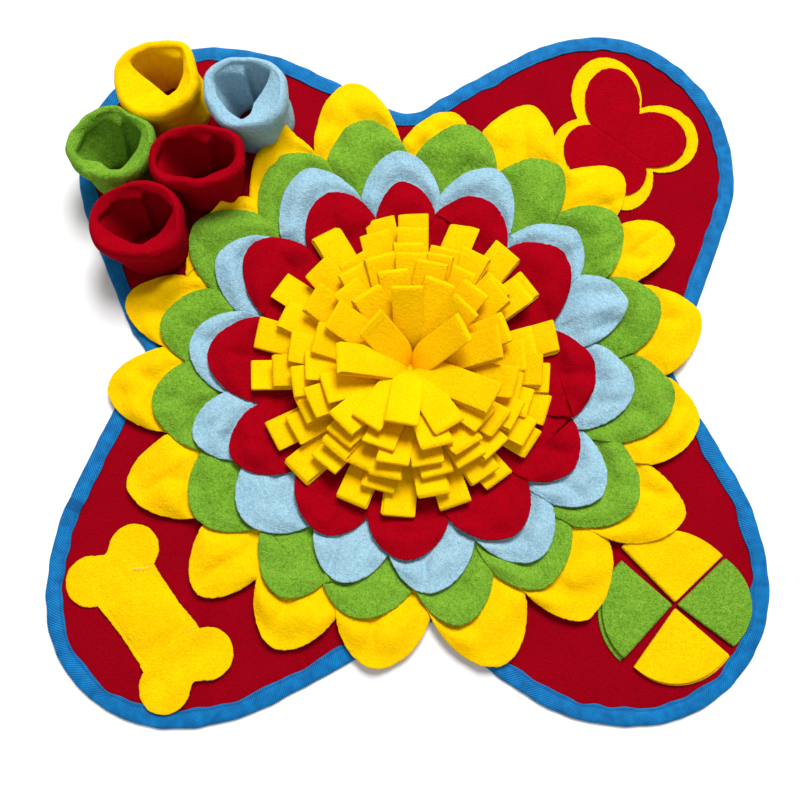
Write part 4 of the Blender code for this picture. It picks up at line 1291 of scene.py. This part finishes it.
for number, cup in enumerate(CUPS):
    shell, path = build_cup(cup, number)
    piece = add_piece(f"tube_{cup.node[4:]}", [shell], FLEECE[cup.cloth], [cup.node], cup.slot)
    girth = 2 * math.pi * np.mean(cup.rim) * 0.95
    path * 0.5 * MM

# %% [markdown]
# ## The bone
#
# Two knobbed panels are sewn flat, and between them a third makes a low pocket: it laps the upper
# panel and is tucked under the lower one.  The cut lines are worked out along the bone's own axis,
# which runs from one pair of knobs to the other.

# %% The bone's cut lines
BONE_START = np.array((-273.0, -184.0))
BONE_END = np.array((-199.5, -278.0))
BONE_LENGTH = np.linalg.norm(BONE_END - BONE_START)
BONE_ALONG = (BONE_END - BONE_START) / BONE_LENGTH
BONE_ACROSS = np.array((-BONE_ALONG[1], BONE_ALONG[0]))
KNOB_RADIUS = 23.5
KNOB_SPREAD = 24.0
NECK_HALF = 31.0
NOTCH_BACK = 11.0
END_PANEL = 29.0
POCKET_CORNERS = ((23, -31), (58, -29.5), (95, -31), (95, 31), (58, 29.5), (23, 31))
POCKET_SPACING = 2.6


def closed_line(corners, spacing):
    """Points at an even spacing along straight sides between corners."""
    corners = np.array(corners, float)
    ahead = np.roll(corners, -1, axis=0)
    lines = [start + (stop - start) * np.linspace(0, 1, max(2, round(np.hypot(*(stop - start)) / spacing)),
                                                  endpoint=False)[:, None]
             for start, stop in zip(corners, ahead)]
    return np.concatenate(lines)


def knobs_outline():
    """Two arcs for the knobs, half a wave for the dip between them, and a straight cut end."""
    sweep = np.radians(np.linspace(17, 228, 34))
    knob = polar(sweep) * KNOB_RADIUS + (0, KNOB_SPREAD)
    dip = np.column_stack((-NOTCH_BACK - 4.8 + 3.2 * np.cos(np.linspace(-1, 1, 7) * math.pi / 2),
                           np.linspace(5.6, -5.6, 7)))
    cut = np.column_stack((np.full(21, END_PANEL), np.linspace(-NECK_HALF, NECK_HALF, 21)))
    return np.vstack((knob, dip, knob[::-1] * (1, -1), cut))


def bone_spot(place):
    """From places along and across the bone to x and y."""
    return BONE_START + place[:, :1] * BONE_ALONG + place[:, 1:] * BONE_ACROSS


knobs = knobs_outline()
upper_cut = bone_spot(knobs)
lower_cut = bone_spot(knobs * (-1, -1) + (BONE_LENGTH, 0))
pocket_cut = bone_spot(closed_line(POCKET_CORNERS, POCKET_SPACING))
print("bone:", round(BONE_LENGTH), "mm between its knobs,", len(upper_cut), "points round an end")

# %% [markdown]
# The pocket is the one panel that isn't flat.  Its height is a level, which steps down from the
# upper panel to the mat, and a crown, both given for a few places along the bone.

# %% The bone's heights and panels
TOY_THICKNESS = 2.0
Row = namedtuple("Row", "place level crown")
POCKET_ROWS = (
    Row(23, 2.5, 0.0), Row(31, 2.3, 0.4), Row(39, 0.6, 2.6), Row(51, 0.2, 4.8), Row(64, 0.1, 5.6),
    Row(76, 0.0, 4.2), Row(86, 0.0, 0.7), Row(94, 0.0, 0.0),
)


def upper_height(x, y):
    """Flat on the mat, with slow waves that only rise."""
    return FELT_TOP + TOY_THICKNESS / 2 + 0.45 * np.abs(ripples(x, y, 44, seed=31))


def lower_height(x, y):
    """Over the pocket's end and then down over the mat, and up again over the tape."""
    along = along_and_aside(x, y, BONE_START, BONE_ALONG)[0]
    level = FELT_TOP + 3.4 - 1.9 * ramp(along, 96, 110) + 2.2 * ramp(along, 114, 128)
    return level + 0.7 * np.abs(ripples(x, y, 34, seed=32))


def pocket_height(x, y):
    """The rows' levels along the bone, plus their crowns times a parabola across it."""
    along, across = along_and_aside(x, y, BONE_START, BONE_ALONG)
    place, level, crown = zip(*POCKET_ROWS)
    lift = smooth_profile(along, list(zip(place, crown)), 7.0) * (1 - (across / NECK_HALF) ** 2)
    step = smooth_profile(along, list(zip(place, level)), 3.0)
    seam = bell(np.abs(across), NECK_HALF - 5, 1.3)
    level = FELT_TOP + TOY_THICKNESS / 2 + step + np.maximum(lift, 0) - 0.5 * seam
    return level + 0.3 * np.abs(ripples(x, y, 26, seed=33))


def lay_patch(name, node, cloth, shell, cut):
    piece = add_piece(name, [shell], FLEECE[cloth], [node], f"{cloth}_fleece")
    size = np.ptp(cut, axis=0) * MM
    outline_area(cut)


Panel = namedtuple("Panel", "name node cut middle height")
BONE_PANELS = (
    Panel("bone_upper", "bone_end_upper", upper_cut, 9.0, upper_height),
    Panel("bone_pocket", "bone_middle", pocket_cut, 60.0, pocket_height),
    Panel("bone_lower", "bone_end_lower", lower_cut, BONE_LENGTH - 9.0, lower_height),
)
for panel in BONE_PANELS:
    middle = bone_spot(np.array([(panel.middle, 0.0)]))[0]
    shell = cloth_patch(panel.cut, middle, panel.height, TOY_THICKNESS, rings=22, under=6,
                        seed=(34, len(panel.cut)))
    lay_patch(panel.name, panel.node, "yellow", shell, panel.cut)

# %% [markdown]
# Where the pocket was sewn down, a few ends of pale thread show, at the upper panel's edge and at
# the lower one's.

# %% The bone's loose thread ends
THREAD_MARKS = (((-251, -187), (-236, -186), 5), ((-200, -242), (-194, -240), 2))
THREAD_LENGTH = 3.0
THREAD_RADIUS = 0.4


def thread_marks():
    """Short pale stitches in a row between two spots, just above the panels."""
    shells = []
    for start, stop, count in THREAD_MARKS:
        flat = np.linspace(start, stop, count)
        level = np.maximum(upper_height(*flat.T), lower_height(*flat.T)) + TOY_THICKNESS / 2 + 0.2
        ahead = np.append(flat[-1] - flat[0], 0.0) / np.linalg.norm(flat[-1] - flat[0])
        shells += build_stitches(np.column_stack((flat, level)), np.tile(ahead, (count, 1)),
                                 THREAD_LENGTH, THREAD_RADIUS)
    return shells


add_piece("bone_thread", thread_marks(), PALE_THREAD, slot="yellow_fleece")

# %% [markdown]
# ## The ball
#
# Four quarter rounds, each a half round of fleece folded once.  The folded edge is one straight
# side, the other straight side is cut, and the two layers spring apart a little at the arc.  A
# section across the fold, ever shorter towards the arc's end, makes both layers and the fold.

# %% Ball
BALL_MIDDLE = np.array((247.0, -220.0))
BALL_THICKNESS = 1.8
Wedge = namedtuple("Wedge", "node cloth fold_at sweep radius cut out spring lower")
# sweep: degrees from the folded to the cut side; cut: the cut side's length as a share of the
# folded one; lower: mm that the lower layer shows beyond the upper one
WEDGES = (
    Wedge("ball_top", "yellow", 42, 91, 63, 1.05, 2.4, 1.2, -1.0),
    Wedge("ball_right", "green", -37, 79, 61, 0.98, 2.6, 1.6, -1.0),
    Wedge("ball_bottom", "yellow", -128, 86, 66, 0.90, 3.0, 1.2, 2.6),
    Wedge("ball_left", "green", 138, 87, 60, 1.08, 2.6, 2.2, 4.2),
)
WEDGE_STATIONS = 40
WEDGE_ROWS = 26


def build_wedge(wedge, number):
    """Sections across the fold: out along the lower layer's underside, round its cut edge, back
    to the fold, and the same above; one of the layers reaches a little further than the other."""
    half = BALL_THICKNESS / 2
    station = np.sin(np.linspace(0.0, 0.985, WEDGE_STATIONS) * math.pi / 2)
    thin = np.sqrt(1 - (1 - np.clip(station * wedge.radius / half, 0, 1)) ** 2) * 0.85 + 0.15
    reach = wedge.radius * wedge.cut * np.sqrt(1 - station ** 2)
    share = np.linspace(0, 1, WEDGE_ROWS)
    low = FELT_TOP + half
    rise = BALL_THICKNESS + 0.6
    turn = np.linspace(math.pi / 2, 3 * math.pi / 2, 9)[1:-1]
    lower = (reach[:, None] + max(wedge.lower, 0) - half) * share[::-1] + half * 2
    upper = (reach[:, None] + max(-wedge.lower, 0) - half) * share + half * 2
    away = np.concatenate((lower, np.full((WEDGE_STATIONS, len(turn)), rise / 2 + 0.6)
                           + rise / 2 * np.cos(turn) * 1.2, upper), axis=1)
    puff = wedge.spring * np.sin(math.pi * share * 0.62) ** 2 * (1 - station[:, None] ** 2) ** 0.5
    level = np.concatenate((np.full_like(lower, low), low + rise / 2 - rise / 2 * np.sin(turn)
                            + np.zeros((WEDGE_STATIONS, 1)), low + rise + puff), axis=1)
    path = np.stack((away, level), axis=-1)
    ahead = np.gradient(path, axis=1)
    ahead /= np.linalg.norm(ahead, axis=-1, keepdims=True)
    side = np.stack((-ahead[..., 1], ahead[..., 0]), axis=-1) * (half * thin)[:, None, None]
    tip = np.linspace(-math.pi / 2, math.pi / 2, 5)[1:-1]

    def cap(at, sign):
        """A half circle round the cut edge at the first or the last point of the path."""
        out = ahead[:, at, None] * sign
        aside = side[:, at, None] * sign
        return path[:, at, None] + aside * np.sin(tip)[:, None] + out * half * np.cos(tip)[:, None]

    section = np.concatenate((path - side, cap(-1, 1), (path + side)[:, ::-1], cap(0, -1)), axis=1)
    along = polar(math.radians(wedge.fold_at))
    across = polar(math.radians(wedge.fold_at + wedge.sweep))
    corner = BALL_MIDDLE + polar(math.radians(wedge.fold_at + wedge.sweep / 2)) * wedge.out
    slide = station * wedge.radius
    flat = corner + along * slide[:, None, None] + across * section[..., :1]
    height = section[..., 1] + 0.25 * ripples(flat[..., 0], flat[..., 1], 24, seed=(41, number))
    height = np.maximum(height, FELT_TOP - 0.1)
    return skin(np.concatenate((flat, height[..., None]), axis=-1).transpose(1, 0, 2), "caps")


for number, wedge in enumerate(WEDGES):
    shell = build_wedge(wedge, number)
    piece = add_piece(f"{wedge.node}_fold", [shell], FLEECE[wedge.cloth], [wedge.node],
                      f"{wedge.cloth}_fleece")
    wedge.radius * MM
    2 * wedge.radius * MM
    math.pi * (wedge.radius * MM) ** 2 / 2

# %% [markdown]
# ## The butterfly
#
# A red patch lies on a yellow one that is a little larger.  Two seams cross at the body and pull
# the red patch down, so the wings stand up softly between them.  Each patch is four ovals and a
# round body that run into one another, so its cut line is the farthest of their edges.

# %% The butterfly's cut lines
Wing = namedtuple("Wing", "x y half_width half_height")
BODY_CENTRE = np.array((217.0, 243.0))
BODY_RADIUS = 26.0
PATCH_THICKNESS = 1.5
BACK_WINGS = (Wing(262, 248, 39, 38), Wing(209, 295, 36.5, 46), Wing(184, 236, 34, 35),
              Wing(222, 208, 30.5, 39))
FRONT_WINGS = (Wing(254, 246, 34.5, 31), Wing(214.5, 287, 28.5, 40.5), Wing(187, 234, 25, 29),
               Wing(222, 212, 23.5, 27))


def wings_outline(wings):
    """Along each direction from the body, the farthest edge of any wing.

    A wing is an oval, and a line from the body's middle meets its edge where a quadratic in the
    distance is zero.
    """
    outward = polar(np.linspace(0, 2 * math.pi, 240, endpoint=False))
    reach = np.full(len(outward), BODY_RADIUS)
    for wing in wings:
        size = np.array((wing.half_width, wing.half_height))
        start = (BODY_CENTRE - (wing.x, wing.y)) / size
        heading = outward / size
        square = np.sum(heading ** 2, axis=1)
        half = heading @ start
        root = half ** 2 - square * (start @ start - 1)
        edge = (np.sqrt(np.clip(root, 0, None)) - half) / square
        reach = np.maximum(reach, np.where(root > 0, edge, 0))
    return BODY_CENTRE + outward * reach[:, None]


print("butterfly:", np.round(np.ptp(wings_outline(BACK_WINGS), axis=0)), "mm wide and high")

# %% [markdown]
# A seam is a straight groove.  The yellow patch lies flat, and the red one takes the grooves.

# %% The butterfly's heights and patches
SEAMS = (((187, 267), (249, 217)), ((242, 280), (205, 222)))
SEAM_WIDTH = 1.8        # mm to each side over which a seam pulls the cloth down
SEAM_END = (-8, 4)      # mm from a seam's end over which its pull starts


def seam_groove(x, y):
    """1 on a seam and 0 a few millimetres away from it: a bell across it times a ramp at its ends."""
    groove = np.zeros_like(x)
    for start, stop in np.array(SEAMS, float):
        length = np.linalg.norm(stop - start)
        along, aside = along_and_aside(x, y, start, (stop - start) / length)
        inside = ramp(along, *SEAM_END) * ramp(length - along, *SEAM_END)
        groove = np.maximum(groove, bell(aside, 0, SEAM_WIDTH) * inside)
    return groove


def back_height(x, y):
    """Flat on the mat, with slow waves that only rise."""
    return FELT_TOP + PATCH_THICKNESS / 2 + 0.15 * np.abs(ripples(x, y, 30, seed=51))


def front_height(x, y):
    """On the yellow patch, in slow waves, and pulled down along the seams."""
    level = FELT_TOP + 1.5 * PATCH_THICKNESS + GAP + 0.2
    return level + 0.35 + 0.35 * ripples(x, y, 34, seed=52) - 0.8 * seam_groove(x, y)


for name, node, cloth, wings, height in (
        ("wings_back", "butterfly_back", "yellow", BACK_WINGS, back_height),
        ("wings_front", "butterfly_front", "red", FRONT_WINGS, front_height)):
    cut = wings_outline(wings)
    shell = cloth_patch(cut, BODY_CENTRE, height, PATCH_THICKNESS, rings=34, under=5, seed=(53, len(cloth)))
    lay_patch(name, node, cloth, shell, cut)

# %% [markdown]
# ## Floor and light
#
# A plain pale floor, one broad soft light from above and behind, which leaves the walls that face
# the viewer in shade, a weak one from the front, and an even surround.  Together they are bright
# enough to turn the floor white.

# %% Floor, lights and surround
FLOOR_HALF = 4.0        # m from its middle to each side
SURROUND = 0.26         # strength of the even light from all round

floor_mesh = bpy.data.meshes.new("floor")
floor_corners = [(x * FLOOR_HALF, y * FLOOR_HALF, 0) for x, y in ((-1, -1), (1, -1), (1, 1), (-1, 1))]
floor_mesh.from_pydata(floor_corners, [], [(0, 1, 2, 3)])
floor = bpy.data.objects.new("floor", floor_mesh)
bpy.context.scene.collection.objects.link(floor)
floor_finish = Finish("pale_floor", roughness=0.8)
floor_tone = floor_finish.noise(floor_finish.place(), 400.0)
floor_finish.plug(floor_finish.shader.inputs["Base Color"],
                  floor_finish.blend(floor_tone, (0.86, 0.86, 0.86, 1), (0.9, 0.9, 0.9, 1)))
floor_mesh.materials.append(floor_finish.material)

Lamp = namedtuple("Lamp", "name place size power")
LAMPS = (
    Lamp("back_softbox", (0.70, 2.4, 3.7), 1.9, 256),
    Lamp("front_softbox", (-0.3, -1.4, 1.9), 1.6, 9),
)
for lamp in LAMPS:
    light = bpy.data.lights.new(lamp.name, "AREA")
    light.shape = "SQUARE"
    light.size = lamp.size
    light.energy = lamp.power
    light_object = bpy.data.objects.new(lamp.name, light)
    light_object.location = lamp.place
    light_object.rotation_mode = "QUATERNION"
    light_object.rotation_quaternion = (-Vector(lamp.place)).to_track_quat("-Z", "Y")
    bpy.context.scene.collection.objects.link(light_object)

world = bpy.data.worlds.new("surround")
world.use_nodes = True
world.node_tree.nodes["Background"].inputs["Color"].default_value = (1.0, 1.0, 1.0, 1.0)
world.node_tree.nodes["Background"].inputs["Strength"].default_value = SURROUND
bpy.context.scene.world = world
bpy.context.scene.view_settings.view_transform = "Standard"
print("lights:", len(LAMPS))
